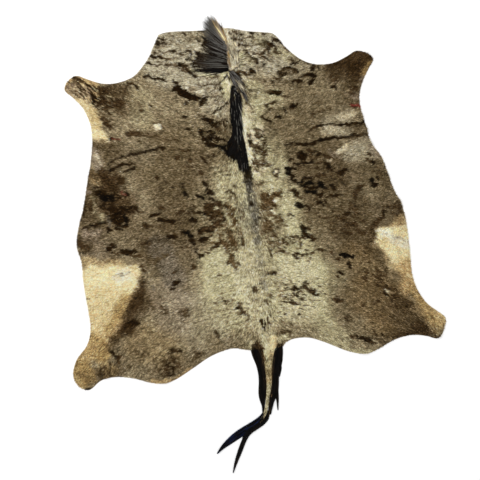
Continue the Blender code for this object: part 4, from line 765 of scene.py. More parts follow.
SPECKLES = table(Speckle, (
    (110, 690, 110, 60, 8, 0.28, UMBER, 0.85), (180, 620, 90, 50, 9, 0.25, BROWN, 0.6),
    (-190, 720, 110, 60, 7, 0.14, BROWN, 0.5), (-230, 640, 110, 50, 8, 0.16, BROWN, 0.5),
    (-80, 540, 70, 60, 8, 0.14, BROWN, 0.5), (-60, 500, 40, 60, 6, 0.16, UMBER, 0.6),
    (260, 500, 120, 70, 9, 0.16, BROWN, 0.6), (300, 380, 130, 60, 8, 0.14, BROWN, 0.5),
    (290, 130, 95, 150, 10, 0.12, UMBER), (330, -40, 110, 90, 10, 0.14, UMBER, 0.75),
    (400, -130, 110, 90, 9, 0.18, UMBER, 0.6), (460, -340, 120, 90, 8, 0.14, UMBER, 0.7),
    (530, -500, 110, 80, 10, 0.18, UMBER, 0.5), (420, -620, 130, 40, 9, 0.22, UMBER, 0.5),
    (190, -390, 130, 90, 8, 0.17, UMBER), (60, -380, 110, 160, 8, 0.15, RUST, 0.7),
    (-90, -420, 140, 150, 8, 0.14, RUST, 0.65), (85, -90, 60, 120, 9, 0.34, RUST),
    (180, -190, 90, 70, 9, 0.12, RUST, 0.65), (-75, -40, 60, 160, 8, 0.18, RUST, 0.75),
    (-150, -60, 60, 120, 9, 0.22, RUST), (-60, 200, 60, 120, 6, 0.16, BROWN, 0.6),
    (-90, 360, 50, 70, 6, 0.24, UMBER, 0.7), (-250, 40, 140, 120, 7, 0.08, UMBER, 0.6),
    (-280, -110, 110, 80, 7, 0.1, UMBER, 0.6), (-400, -60, 90, 80, 9, 0.16, UMBER, 0.5),
    (-570, 130, 80, 130, 12, 0.22, INK, 0.7), (-650, -40, 80, 70, 9, 0.2, UMBER, 0.5),
    (-440, -610, 120, 60, 9, 0.24, UMBER, 0.5), (-350, -480, 160, 110, 9, 0.12, BROWN, 0.4),
    (-480, -400, 90, 110, 9, 0.16, BROWN, 0.5), (-440, -240, 60, 60, 9, 0.18, SLATE, 0.5),
    (80, 250, 46, 130, 8, 0.24, UMBER, 0.75), (-500, 520, 80, 60, 9, 0.2, UMBER, 0.5),
    (540, 60, 70, 110, 9, 0.14, UMBER, 0.5),
))

MARKS = (
    NECK_MARKS + LEFT_SIDE_MARKS + LEFT_EDGE_MARKS + RUMP_MARKS
    + RIGHT_SIDE_MARKS + RIGHT_EDGE_MARKS + SPINE_MARKS
)


# Odd factors that scatter the numbers of a net's crossings
SCATTER_X, SCATTER_Y, SCATTER_SEED, SCATTER_ALL = 374761393, 668265263, 974634777, 1274126177
SHORTEST_WAY = 1e-9
SHORTEST_LINE = 1e-3


def noise(points: np.ndarray, seed: int) -> np.ndarray:
    """Smooth random values between 0 and 1.

    A random value stands at each crossing of a net with unit spacing, and the values between are blended
    with a smooth step in both directions.

    Args:
        points: Places on the net, one row of two each.
        seed: Picks another set of values.

    Returns:
        One value for each place.
    """
    cell = np.floor(points).astype(np.int64)
    share = points - cell
    share = share * share * (3 - 2 * share)

    def at(step_x: int, step_y: int) -> np.ndarray:
        """Draws the random value at one corner of each place's cell.

        Args:
            step_x: The corner's column in the cell, 0 or 1.
            step_y: Its row, 0 or 1.

        Returns:
            A value between 0 and 1 for each place.
        """
        mixed = (cell[:, 0] + step_x) * SCATTER_X + (cell[:, 1] + step_y) * SCATTER_Y + seed * SCATTER_SEED
        mixed = (mixed ^ (mixed >> 13)) * SCATTER_ALL
        return ((mixed ^ (mixed >> 16)) & 0xFFFF) / 0xFFFF

    lower = at(0, 0) * (1 - share[:, 0]) + at(1, 0) * share[:, 0]
    upper = at(0, 1) * (1 - share[:, 0]) + at(1, 1) * share[:, 0]
    return lower * (1 - share[:, 1]) + upper * share[:, 1]


class Grain(NamedTuple):
    """A field of noise: its grains' size in one unit or along and across the hair, and its seed."""

    size: float | tuple[float, float]
    seed: int

    def at(self, points: np.ndarray) -> np.ndarray:
        """The field's values at points in the size's unit."""
        return noise(points / self.size, self.seed)


def eased(share: np.ndarray) -> np.ndarray:
    """Rises from 0 to 1 as share does, by share squared times (3 - 2 share)."""
    share = np.clip(share, 0.0, 1.0)
    return share * share * (3 - 2 * share)


def unit(ways: np.ndarray) -> np.ndarray:
    """The ways at length 1."""
    return ways / np.maximum(np.linalg.norm(ways, axis=-1, keepdims=True), SHORTEST_WAY)


def turned(ways: np.ndarray, angles: np.ndarray) -> np.ndarray:
    """Turns plan ways counter-clockwise.

    Args:
        ways: Ways in the plan, one row of x and y each.
        angles: How far each turns, in radians.

    Returns:
        The turned ways.
    """
    cos, sin = np.cos(angles), np.sin(angles)
    x, y = ways[..., 0], ways[..., 1]
    return np.stack([x * cos - y * sin, x * sin + y * cos], axis=-1)


def off_line(points: np.ndarray, row: Mark | Ridge) -> tuple[np.ndarray, np.ndarray, np.ndarray]:
    """How far points are from a row's line.

    Args:
        points: Plan positions in millimetres.
        row: A row with x0, y0, x1 and y1.

    Returns:
        The distance to the line between its ends, the distance to the endless line, and the share of the
        way from the start, which isn't held between 0 and 1.
    """
    start = np.array((row.x0, row.y0), float)
    way = np.array((row.x1, row.y1), float) - start
    length = max(float(np.linalg.norm(way)), SHORTEST_LINE)
    share = (points - start) @ way / length**2
    beside = np.abs((points - start) @ np.array((-way[1], way[0]))) / length
    near = np.linalg.norm(points - start - np.clip(share, 0, 1)[:, None] * way, axis=1)
    return near, beside, share


@dataclass(frozen=True)
class Relief:
    """The heights of the lying hide: its underside follows the folds, its top also has the creases.

    Lengths are in metres, but for the least lift, which is in millimetres as the folds' table is.
    """

    leather: float = 0.0035
    edge_leather: float = 0.0024
    edge_slope: float = 0.012
    thinnest: float = 0.0012
    rising: float = 0.5
    least_lift: float = 0.2
    crease_core: float = 0.6

    def lift(self, plan: np.ndarray) -> np.ndarray:
        """How far the underside is off the floor.

        Each fold's section is one wave of a raised cosine, which rises over the first half of its length.

        Args:
            plan: Positions in metres, one row of x and y each.

        Returns:
            A height in metres for each.
        """
        points = plan / MM
        lift = np.zeros(len(points))
        for fold in FOLDS:
            _, beside, share = off_line(points, fold)
            section = 0.5 + 0.5 * np.cos(np.pi * np.clip(beside / fold.half_width, 0, 1))
            lift += fold.height * section * eased(share / self.rising)
        return np.where(lift < self.least_lift, 0.0, lift) * MM

    def top(self, plan: np.ndarray, off_edge: np.ndarray) -> np.ndarray:
        """Height of the skin that the hair roots in.

        It is the lift and the leather, less a bell curve across each crease.

        Args:
            plan: Positions in metres.
            off_edge: Each one's distance from the edge, in metres.

        Returns:
            A height in metres for each, thinner near the edge and in creases.
        """
        thick = self.edge_leather + (self.leather - self.edge_leather) * eased(off_edge / self.edge_slope)
        for crease in CREASES:
            near, _, _ = off_line(plan / MM, crease)
            thick -= crease.height * MM * np.exp(-((near / (self.crease_core * crease.half_width)) ** 2))
        return self.lift(plan) + np.maximum(thick, self.thinnest)


def outline_of(node: bpy.types.Object) -> np.ndarray:
    """The plan outline of a sheet's solid: the edges that only one face of its underside has.

    Args:
        node: A closed solid of triangles that lies on the floor.

    Returns:
        Its outline in metres, counter-clockwise from above.
    """
    mesh = node.data
    places = np.empty(len(mesh.vertices) * 3)
    mesh.vertices.foreach_get("co", places)
    corners = np.empty(len(mesh.polygons) * 3, np.int64)
    mesh.polygons.foreach_get("vertices", corners)
    faces = places.reshape(-1, 3)[corners.reshape(-1, 3)]
    normal = unit(np.cross(faces[:, 1] - faces[:, 0], faces[:, 2] - faces[:, 0]))
    under = faces[normal[:, 2] < -0.5]
    spots, name = np.unique(under.reshape(-1, 3), axis=0, return_inverse=True)
    name = name.reshape(-1, 3)
    pairs = set(zip(name.ravel().tolist(), np.roll(name, -1, axis=1).ravel().tolist()))
    follows = {end: start for start, end in pairs if (end, start) not in pairs}
    walk = [next(iter(follows))]
    while follows[walk[-1]] != walk[0]:
        walk.append(follows[walk[-1]])
    return spots[walk, :2]


@dataclass
class Sheet:
    """The hide's plan as a function of the station along the spine and the share from edge to edge.

    Lengths are in metres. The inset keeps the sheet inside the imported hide's edge, the neck's fade is how
    far its edge bends the stations, and the parting is how far the spine turns the hair its way.
    """

    stations: int = 340
    across: int = 88
    inset: float = 0.0015
    neck_fade: float = 0.06
    whorl_y: float = 0.585
    whorl_reach: float = 0.03
    parting: float = 0.085
    ring: np.ndarray = field(init=False)
    passed: np.ndarray = field(init=False)
    rows: np.ndarray = field(init=False)
    left: np.ndarray = field(init=False)
    right: np.ndarray = field(init=False)
    spine: np.ndarray = field(init=False)
    plan: np.ndarray = field(init=False)
    combed: np.ndarray = field(init=False)
    edge_gap: np.ndarray = field(init=False)

    def __post_init__(self) -> None:
        """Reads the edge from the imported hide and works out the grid."""
        edge = outline_of(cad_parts["hide"])
        self.ring = np.vstack([edge, edge[:1]])
        self.passed = np.concatenate([[0], np.cumsum(np.linalg.norm(np.diff(self.ring, axis=0), axis=1))])
        left = self._edge_stations([(row.left_x, row.left_y) for row in RIBS])
        right = self._edge_stations([(row.right_x, row.right_y) for row in RIBS])
        travelled = np.abs(left - left[0]) + np.abs(right - right[0])
        self.rows = np.interp(np.linspace(0, travelled[-1], self.stations), travelled, np.arange(len(RIBS)))
        self.left, self.right = self._edge_points(left), self._edge_points(right)
        spine = np.array(SPINE, float) * MM
        spine_y = self._column("spine_y") * MM
        self.spine = np.stack([np.interp(-spine_y, -spine[:, 1], spine[:, 0]), spine_y], axis=1)
        self.plan = self._grid()
        self.combed = self._combed()
        self.edge_gap = self._edge_gap()

    def _column(self, name: str) -> np.ndarray:
        """A column of the ribs' table at every station."""
        return np.interp(self.rows, np.arange(len(RIBS)), [getattr(row, name) for row in RIBS])

    def _edge_stations(self, places: list[tuple[float, float]]) -> np.ndarray:
        """How far along the edge its nearest points to the places are, without the jump at its start."""
        apart = np.linalg.norm(self.ring[None, :-1] - np.array(places)[:, None] * MM, axis=2)
        return np.unwrap(self.passed[apart.argmin(axis=1)], period=self.passed[-1])

    def _edge_points(self, ribs: np.ndarray) -> np.ndarray:
        """The edge's points at every station, from the ribs' distances along it."""
        along = np.interp(self.rows, np.arange(len(RIBS)), ribs) % self.passed[-1]
        return np.stack([np.interp(along, self.passed, self.ring[:, axis]) for axis in (0, 1)], axis=1)

    def _grid(self) -> np.ndarray:
        """Works out where the grid's points lie.

        A point is the spine's point plus its share of the way to the edge's, bowed backwards by
        sweep times length times share times (1 - share). The neck's edge isn't straight, so the first
        stations are moved to it, less and less over the neck's fade. The outer half is drawn in from the
        edge, in full at the edge itself.

        Returns:
            Plan positions in metres, by station and share.
        """
        share = np.linspace(-1, 1, self.across + 1)
        edge = np.where(share[None, :, None] < 0, self.left[:, None], self.right[:, None])
        way = edge - self.spine[:, None]
        part = np.abs(share)[None, :, None]
        length = np.linalg.norm(way, axis=2, keepdims=True)
        bow = self._column("sweep")[:, None, None] * length * part * (1 - part)
        plan = self.spine[:, None] + way * part - bow * np.array((0.0, 1.0))
        fade = 1 - eased(np.linalg.norm(plan - plan[:1], axis=2) / self.neck_fade)
        plan = plan + fade[..., None] * (self._neck_edge(plan[0]) - plan[0])[None]
        return plan + self.inset * np.clip(2 * part - 1, 0, 1) * unit(-way)

    def _neck_edge(self, straight: np.ndarray) -> np.ndarray:
        """Finds the neck's edge between the first pair of ribs.

        Args:
            straight: The points of the straight first row.

        Returns:
            The edge's point at the x of each of them.
        """
        shift = np.argmin(np.linalg.norm(self.ring[:-1] - self.left[0], axis=1))
        walk = np.roll(self.ring[:-1], -shift, axis=0)
        stop = np.argmin(np.linalg.norm(walk - self.right[0], axis=1))
        if stop > len(walk) / 2:
            walk, stop = np.roll(walk[::-1], 1, axis=0), len(walk) - stop
        neck = walk[: stop + 1]
        return np.stack([straight[:, 0], np.interp(straight[:, 0], neck[:, 0], neck[:, 1])], axis=1)

    def ways(self) -> np.ndarray:
        """Works out which way the short hair lies.

        It runs from the spine to the edge along the ribs, and near the spine along it: to the neck above
        the whorl and to the tail below, by a bell curve over the distance from the spine.

        Returns:
            Ways of length 1, by station and share.
        """
        side = np.where(np.linspace(-1, 1, self.across + 1) < 0, -1, 1)
        out = np.gradient(self.plan, axis=1) * side[:, None]
        back = unit(np.gradient(self.spine, axis=0))[:, None] * np.ones_like(out)
        whorl = np.clip((self.whorl_y - self.plan[..., 1:]) / self.whorl_reach, -1, 1)
        off_spine = np.linalg.norm(self.plan - self.spine[:, None], axis=2, keepdims=True)
        near = np.exp(-((off_spine / self.parting) ** 2)) * np.abs(whorl)
        return unit(unit(out) * (1 - near) + back * whorl * near)

    def _combed(self) -> np.ndarray:
        """Works out places as the lying hair has them.

        Returns:
            Distance along the rib, less than 0 left of the spine, and distance across the ribs, in metres.
        """
        step = np.linalg.norm(np.diff(self.plan, axis=1), axis=2)
        walk = np.cumsum(np.pad(step, ((0, 0), (1, 0))), axis=1)
        along = walk - walk[:, [self.across // 2]]
        gaps = np.linalg.norm(np.diff(self.plan, axis=0), axis=2)[:, [self.across // 4, 3 * self.across // 4]]
        across = np.cumsum(np.pad(gaps.mean(axis=1), (1, 0)))
        return np.stack([along, np.broadcast_to(across[:, None], along.shape)], axis=-1)

    def _edge_gap(self) -> np.ndarray:
        """Measures how far the grid's points are from the edge.

        Returns:
            A distance in metres, by station and share.
        """
        flat = self.plan.reshape(-1, 2)
        nearest = np.full(len(flat), np.inf)
        for start, stop in zip(self.ring[:-1], self.ring[1:]):
            way = stop - start
            share = np.clip((flat - start) @ way / max(way @ way, 1e-12), 0, 1)
            nearest = np.minimum(nearest, np.linalg.norm(flat - start - share[:, None] * way, axis=1))
        return nearest.reshape(self.plan.shape[:2])


# Hairs shade each other; this gives the coat that light back, in sRGB shares
LIT = np.array((1.195, 1.18, 1.165))
# Which way a colour goes as it gets warmer, from red over green to blue
WARM = np.array((0.7, 0.1, -1.1))
DARKEST, LIGHTEST = 0.01, 0.98


def shaded(colours: np.ndarray, factor: np.ndarray) -> np.ndarray:
    """Makes colours darker or lighter; lighter hair is greyer and dark hair warmer.

    The warmth is a small constant plus the fourth power of the darkness, and it fades out near black.

    Args:
        colours: sRGB shares, one row of three each.
        factor: What each is multiplied by.

    Returns:
        The new colours, not held between 0 and 1.
    """
    scaled = colours * factor[:, None]
    grey = 0.5 * np.clip(factor - 1, 0, 0.6)[:, None]
    mean = scaled.mean(axis=1, keepdims=True)
    warmth = 0.001 + 0.032 * np.clip(1 - mean, 0, 1) ** 4
    return scaled + grey * (mean - scaled) + warmth * WARM * np.clip(mean / 0.1, 0, 1)


@dataclass(frozen=True)
class CoatPattern:
    """The short coat's colours at any place of the hide.

    The colour starts as dun, and each row of the tables pulls it towards the row's tone: in full up to the
    half width from the row's line, and less and less over the soft width beyond. Noise bends the marks'
    lines, and noise that is drawn out along the lying hair makes the edges ragged. Thin marks are less
    ragged, by a least value and a part that grows with their half width. Lengths are in millimetres; a
    grain with two sizes is measured along and across the hair.
    """

    zone_ragged: float = 26.0
    mark_ragged: float = 16.0
    least_ragged: float = 2.0
    ragged_width: float = 1.4
    along_hair: float = 0.4
    mark_shift: float = 0.6
    mark_bent: float = 13.0
    gap_from: float = 0.22
    gap_span: float = 0.7
    gap_edge: float = 0.09
    spots_along: float = 0.6
    spot_stretch: tuple[float, float] = (1.9, 0.7)
    spot_edge: float = 0.08
    rim_from: float = 0.5
    rim_rise: float = 0.16
    streaks: float = 0.45
    grains: float = 1.08
    mottling: float = 0.10
    back_coarse: float = 1.2
    sides_finer: float = 0.45
    back_half: float = 90.0
    back_fade: float = 200.0
    least_shaded: float = 0.6
    zone_edge: Grain = Grain(38, 11)
    mark_edge_hair: Grain = Grain((9, 4), 21)
    mark_edge: Grain = Grain(5.5, 22)
    bends: tuple[Grain, Grain] = (Grain(12, 23), Grain(12, 24))
    long_streaks: Grain = Grain((20, 5), 31)
    short_streaks: Grain = Grain((9, 3.2), 32)
    broad_mottle: Grain = Grain(45, 33)
    close_mottle: Grain = Grain(17, 34)
    fine_grain: Grain = Grain(4.2, 35)
    coarse_grain: Grain = Grain(7.0, 36)
    gap_hair: Grain = Grain((10, 4), 41)
    gap_spots: Grain = Grain(6.5, 42)

    def colours(self, plan: np.ndarray, combed: np.ndarray) -> np.ndarray:
        """The coat's colours.

        Args:
            plan: Positions in metres, one row of x and y each.
            combed: The same places as distance along their rib and distance across the ribs, in metres.

        Returns:
            sRGB shares, one row of three for each place.
        """
        points, hair = plan / MM, combed / MM
        colours = np.tile(Tone.DUN.share, (len(points), 1))
        zone_uneven = self.zone_edge.at(points) - 0.5
        for row in ZONES:
            self._lay(colours, points, hair, row, zone_uneven, self.zone_ragged)
        for row in SPECKLES:
            self._speckle(colours, points, hair, row)
        mark_uneven = self.along_hair * self.mark_edge_hair.at(hair)
        mark_uneven = mark_uneven + (1 - self.along_hair) * self.mark_edge.at(points) - self.mark_shift
        bent = points + self.mark_bent * np.stack([bend.at(points) - 0.5 for bend in self.bends], axis=1)
        for row in MARKS:
            ragged = min(self.mark_ragged, self.least_ragged + self.ragged_width * row.half_width)
            self._lay(colours, bent, hair, row, mark_uneven, ragged)
        return np.clip(shaded(colours, 1 + self._grain(colours, points, hair)), DARKEST, 1)

    def _grain(self, colours: np.ndarray, points: np.ndarray, hair: np.ndarray) -> np.ndarray:
        """How much lighter or darker single hairs and locks are; the grain is coarsest along the back.

        Args:
            colours: The coat's colours without the grain.
            points: Plan positions in millimetres.
            hair: The same places along and across the hair, in millimetres.

        Returns:
            A share for each place, around 0.
        """
        streak = 0.5 * self.long_streaks.at(hair) + 0.5 * self.short_streaks.at(hair) - 0.5
        grain = 0.5 * self.fine_grain.at(points) + 0.5 * self.coarse_grain.at(points) - 0.5
        mottle = self.broad_mottle.at(points) + self.close_mottle.at(points) - 1
        beside = eased((np.abs(points[:, 0]) - self.back_half) / self.back_fade)
        coarse = self.back_coarse - self.sides_finer * beside
        shade = (self.streaks * streak + self.grains * grain) * coarse * self.quiet(colours)
        return shade + self.mottling * mottle

    @staticmethod
    def quiet(colours: np.ndarray) -> np.ndarray:
        """How much of the grain shows: less in pale hair, which is also softer."""
        return 1.5 - 1.3 * np.clip(colours.mean(axis=1), 0, 1)

    def softened(self, factor: float, quiet: np.ndarray) -> np.ndarray:
        """A shading factor that comes nearer to 1 where little of the grain shows."""
        return 1 + (factor - 1) * (self.least_shaded + (1 - self.least_shaded) * quiet)

    def _lay(
        self,
        colours: np.ndarray,
        points: np.ndarray,
        hair: np.ndarray,
        row: Mark,
        uneven: np.ndarray,
        ragged: float,
    ) -> None:
        """Pulls the colours round a row's line towards its tone, in their own array.

        Args:
            colours: The colours so far.
            points: Plan positions in millimetres, bent or not.
            hair: The same places along and across the hair, in millimetres.
            row: The mark.
            uneven: Noise for the row's edge at every place.
            ragged: How far a value of 1 there moves the edge inwards, in millimetres.
        """
        reach = row.half_width + row.soft + ragged
        low = np.minimum((row.x0, row.y0), (row.x1, row.y1)) - reach
        high = np.maximum((row.x0, row.y0), (row.x1, row.y1)) + reach
        near = np.flatnonzero(np.all((points > low) & (points < high), axis=1))
        off = off_line(points[near], row)[0] + ragged * uneven[near]
        share = row.strength * (1 - eased((off - row.half_width) / row.soft))
        if row.broken:
            gaps = self.along_hair * self.gap_hair.at(hair[near])
            gaps = gaps + (1 - self.along_hair) * self.gap_spots.at(points[near])
            share *= eased(0.5 + (gaps - self.gap_from - self.gap_span * row.broken) / self.gap_edge)
        colours[near] += share[:, None] * (row.tone.share - colours[near])

    def _speckle(self, colours: np.ndarray, points: np.ndarray, hair: np.ndarray, row: Speckle) -> None:
        """Scatters small spots over a field that fades out towards its rim, in the colours' own array.

        Spots show where noise is over the limit that leaves the row's share, and the limit rises from half
        way to the rim.

        Args:
            colours: The colours so far.
            points: Plan positions in millimetres.
            hair: The same places along and across the hair, in millimetres.
            row: The field.
        """
        off = np.hypot((points[:, 0] - row.x) / row.reach_x, (points[:, 1] - row.y) / row.reach_y)
        near = np.flatnonzero(off < 1)
        seed = int(row.x * 7 + row.y * 13) % 997
        value = (1 - self.spots_along) * noise(points[near] / row.spot, seed)
        value += self.spots_along * noise(hair[near] / row.spot / self.spot_stretch, seed + 1)
        rim = eased((off[near] - self.rim_from) / (1 - self.rim_from))
        limit = np.quantile(value, 1 - row.share) + self.rim_rise * rim
        share = row.strength * eased(0.5 + (value - limit) / self.spot_edge)
        colours[near] += share[:, None] * (row.tone.share - colours[near])


class Mesh:
    """Builds mesh objects from arrays of positions, faces and colours."""

    @staticmethod
    def build(name: str, places: np.ndarray, faces: np.ndarray, shares: np.ndarray) -> bpy.types.Object:
        """Makes an object with a colour attribute named tone.

        Args:
            name: The object's name.
            places: Corner positions in metres, one row of three each.
            faces: Corner numbers, one row of three or four for each face.
            shares: sRGB shares of each corner.

        Returns:
            The object, at the origin and linked to the scene.
        """
        mesh = bpy.data.meshes.new(name)
        sides = faces.shape[1]
        mesh.vertices.add(len(places))
        mesh.vertices.foreach_set("co", places.astype(np.float32).ravel())
        mesh.loops.add(faces.size)
        mesh.loops.foreach_set("vertex_index", faces.astype(np.int32).ravel())
        mesh.polygons.add(len(faces))
        mesh.polygons.foreach_set("loop_start", np.arange(0, faces.size, sides, dtype=np.int32))
        mesh.polygons.foreach_set("loop_total", np.full(len(faces), sides, np.int32))
        mesh.polygons.foreach_set("use_smooth", np.ones(len(faces), bool))
        mesh.update(calc_edges=True)
        tone = mesh.color_attributes.new("tone", "FLOAT_COLOR", "POINT")
        light = np.ones((len(places), 4), np.float32)
        light[:, :3] = linear(shares)
        tone.data.foreach_set("color", light.ravel())
        piece = bpy.data.objects.new(name, mesh)
        bpy.context.scene.collection.objects.link(piece)
        return piece

    @staticmethod
    def unwrap(piece: bpy.types.Object, places: np.ndarray) -> None:
        """Adds the map named OFBake.

        Args:
            piece: The object.
            places: A map position for each face corner, in any unit; they are fitted into the unit square.
        """
        low = places.min(axis=0)
        span = np.maximum(places.max(axis=0) - low, 1e-6)
        fitted = 0.005 + 0.99 * (places - low) / span
        layer = piece.data.uv_layers.new(name="OFBake")
        layer.data.foreach_set("uv", fitted.astype(np.float32).ravel())


def strands(
    name: str, paths: np.ndarray, widths: np.ndarray, shares: np.ndarray, rise: float = 0.8
) -> bpy.types.Object:
    """Builds tapered strands as one mesh of closed three-sided tubes.

    Each ring stands across its path's plan way, with a corner on the right, one on top and one on the
    left. The last point of a path is the strand's tip.

    Args:
        name: The object's name.
        paths: Centre lines in metres, by strand and point.
        widths: Half the width at every point but the tip, by strand and point.
        shares: sRGB shares, by strand and point.
        rise: The top corner's height as a share of the half width.

    Returns:
        The object, at the origin and linked to the scene.
    """
    count, rings = widths.shape
    way = unit(np.gradient(paths[:, :, :2], axis=1))[:, :-1]
    aside = np.stack([way[..., 1], -way[..., 0]], axis=-1) * widths[..., None]
    corners = np.repeat(paths[:, :-1, None, :], 3, axis=2)
    corners[:, :, 0, :2] += aside
    corners[:, :, 1, 2] += rise * widths
    corners[:, :, 2, :2] -= aside
    places = np.concatenate([corners.reshape(count, rings * 3, 3), paths[:, -1:]], axis=1)
    ring_shares = np.repeat(shares[:, :-1, None, :], 3, axis=2).reshape(count, rings * 3, 3)
    tinted = np.concatenate([ring_shares, shares[:, -1:]], axis=1)
    faces = [(0, 1, 2)]
    for ring in range(rings - 1):
        here, there = 3 * ring, 3 * ring + 3
        for corner, after in ((0, 1), (1, 2), (2, 0)):
            faces.append((here + corner, there + corner, there + after))
            faces.append((here + corner, there + after, here + after))
    last, tip = 3 * rings - 3, 3 * rings
    faces += [(last, tip, last + 1), (last + 1, tip, last + 2), (last + 2, tip, last)]
    firsts = np.arange(count)[:, None, None] * (3 * rings + 1)
    joined = (np.array(faces)[None] + firsts).reshape(-1, 3)
    flat = places.reshape(-1, 3)
    piece = Mesh.build(name, flat, joined, tinted.reshape(-1, 3))
    Mesh.unwrap(piece, flat[joined.ravel(), :2])
    return piece


@dataclass
class Hide:
    """The tanned skin: one closed sheet with the coat's colours on top and bare leather below.

    The painted root shade darkens the skin that shows between the hairs, as painted shade for the shadow
    that the hairs cast there, and the map gap sets the underside's map beside the top's, in metres.
    """

    sheet: Sheet
    relief: Relief
    pattern: CoatPattern
    painted_root_shade: float = 0.66
    map_gap: float = 2.0

    def build(self, coat: bpy.types.Material, leather: bpy.types.Material) -> list[bpy.types.Object]:
        """Makes the sheet from two grids, by station and share, and the wall round them.

        Args:
            coat: The finish of the upper side.
            leather: The finish of the underside and the cut edge.

        Returns:
            The one piece, attached to the root body.
        """
        plan = self.sheet.plan.reshape(-1, 2)
        count = len(plan)
        top = np.column_stack([plan, self.relief.top(plan, self.sheet.edge_gap.ravel())])
        under = np.column_stack([plan, self.relief.lift(plan)])
        upper, faces = self._faces()
        shares = np.concatenate([self._skin(plan), np.tile(Tone.LEATHER.share, (count, 1))])
        piece = Mesh.build("hide_sheet", np.concatenate([top, under]), faces, shares)
        piece.data.materials.append(coat)
        piece.data.materials.append(leather)
        bare = np.arange(len(faces)) >= upper
        piece.data.polygons.foreach_set("material_index", bare.astype(np.int32))
        spots = np.concatenate([plan, plan])[faces.ravel()]
        spots[:, 0] += self.map_gap * np.repeat(bare, 4)
        Mesh.unwrap(piece, spots)
        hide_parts("hide")
        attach(piece, "root")
        return [piece]

    def _faces(self) -> tuple[int, np.ndarray]:
        """Numbers the corners of the top, the underside, which is the top turned over, and the wall.

        Returns:
            How many faces the top has, and the corners of all faces, the top's first.
        """
        rows, columns = self.sheet.plan.shape[:2]
        count = rows * columns
        number = np.arange(count).reshape(rows, columns)
        upper = np.stack([number[:-1, :-1], number[1:, :-1], number[1:, 1:], number[:-1, 1:]], axis=-1)
        upper = upper.reshape(-1, 4)
        ring = np.concatenate([number[:, 0], number[-1, 1:], number[-2::-1, -1], number[0, -2:0:-1]])
        after = np.roll(ring, -1)
        wall = np.stack([ring, ring + count, after + count, after], axis=-1)
        return len(upper), np.concatenate([upper, upper[:, ::-1] + count, wall])

    def _skin(self, plan: np.ndarray) -> np.ndarray:
        """Colours the skin at the hair's roots.

        Args:
            plan: Positions in metres, one row of x and y each.

        Returns:
            sRGB shares, one row of three for each place.
        """
        colours = self.pattern.colours(plan, self.sheet.combed.reshape(-1, 2))
        # Painted shade: the skin that shows between the hairs is darkened, less where the coat is pale
        shade = self.pattern.softened(self.painted_root_shade, self.pattern.quiet(colours))
        return np.clip(colours * shade[:, None] * LIT, DARKEST, LIGHTEST)


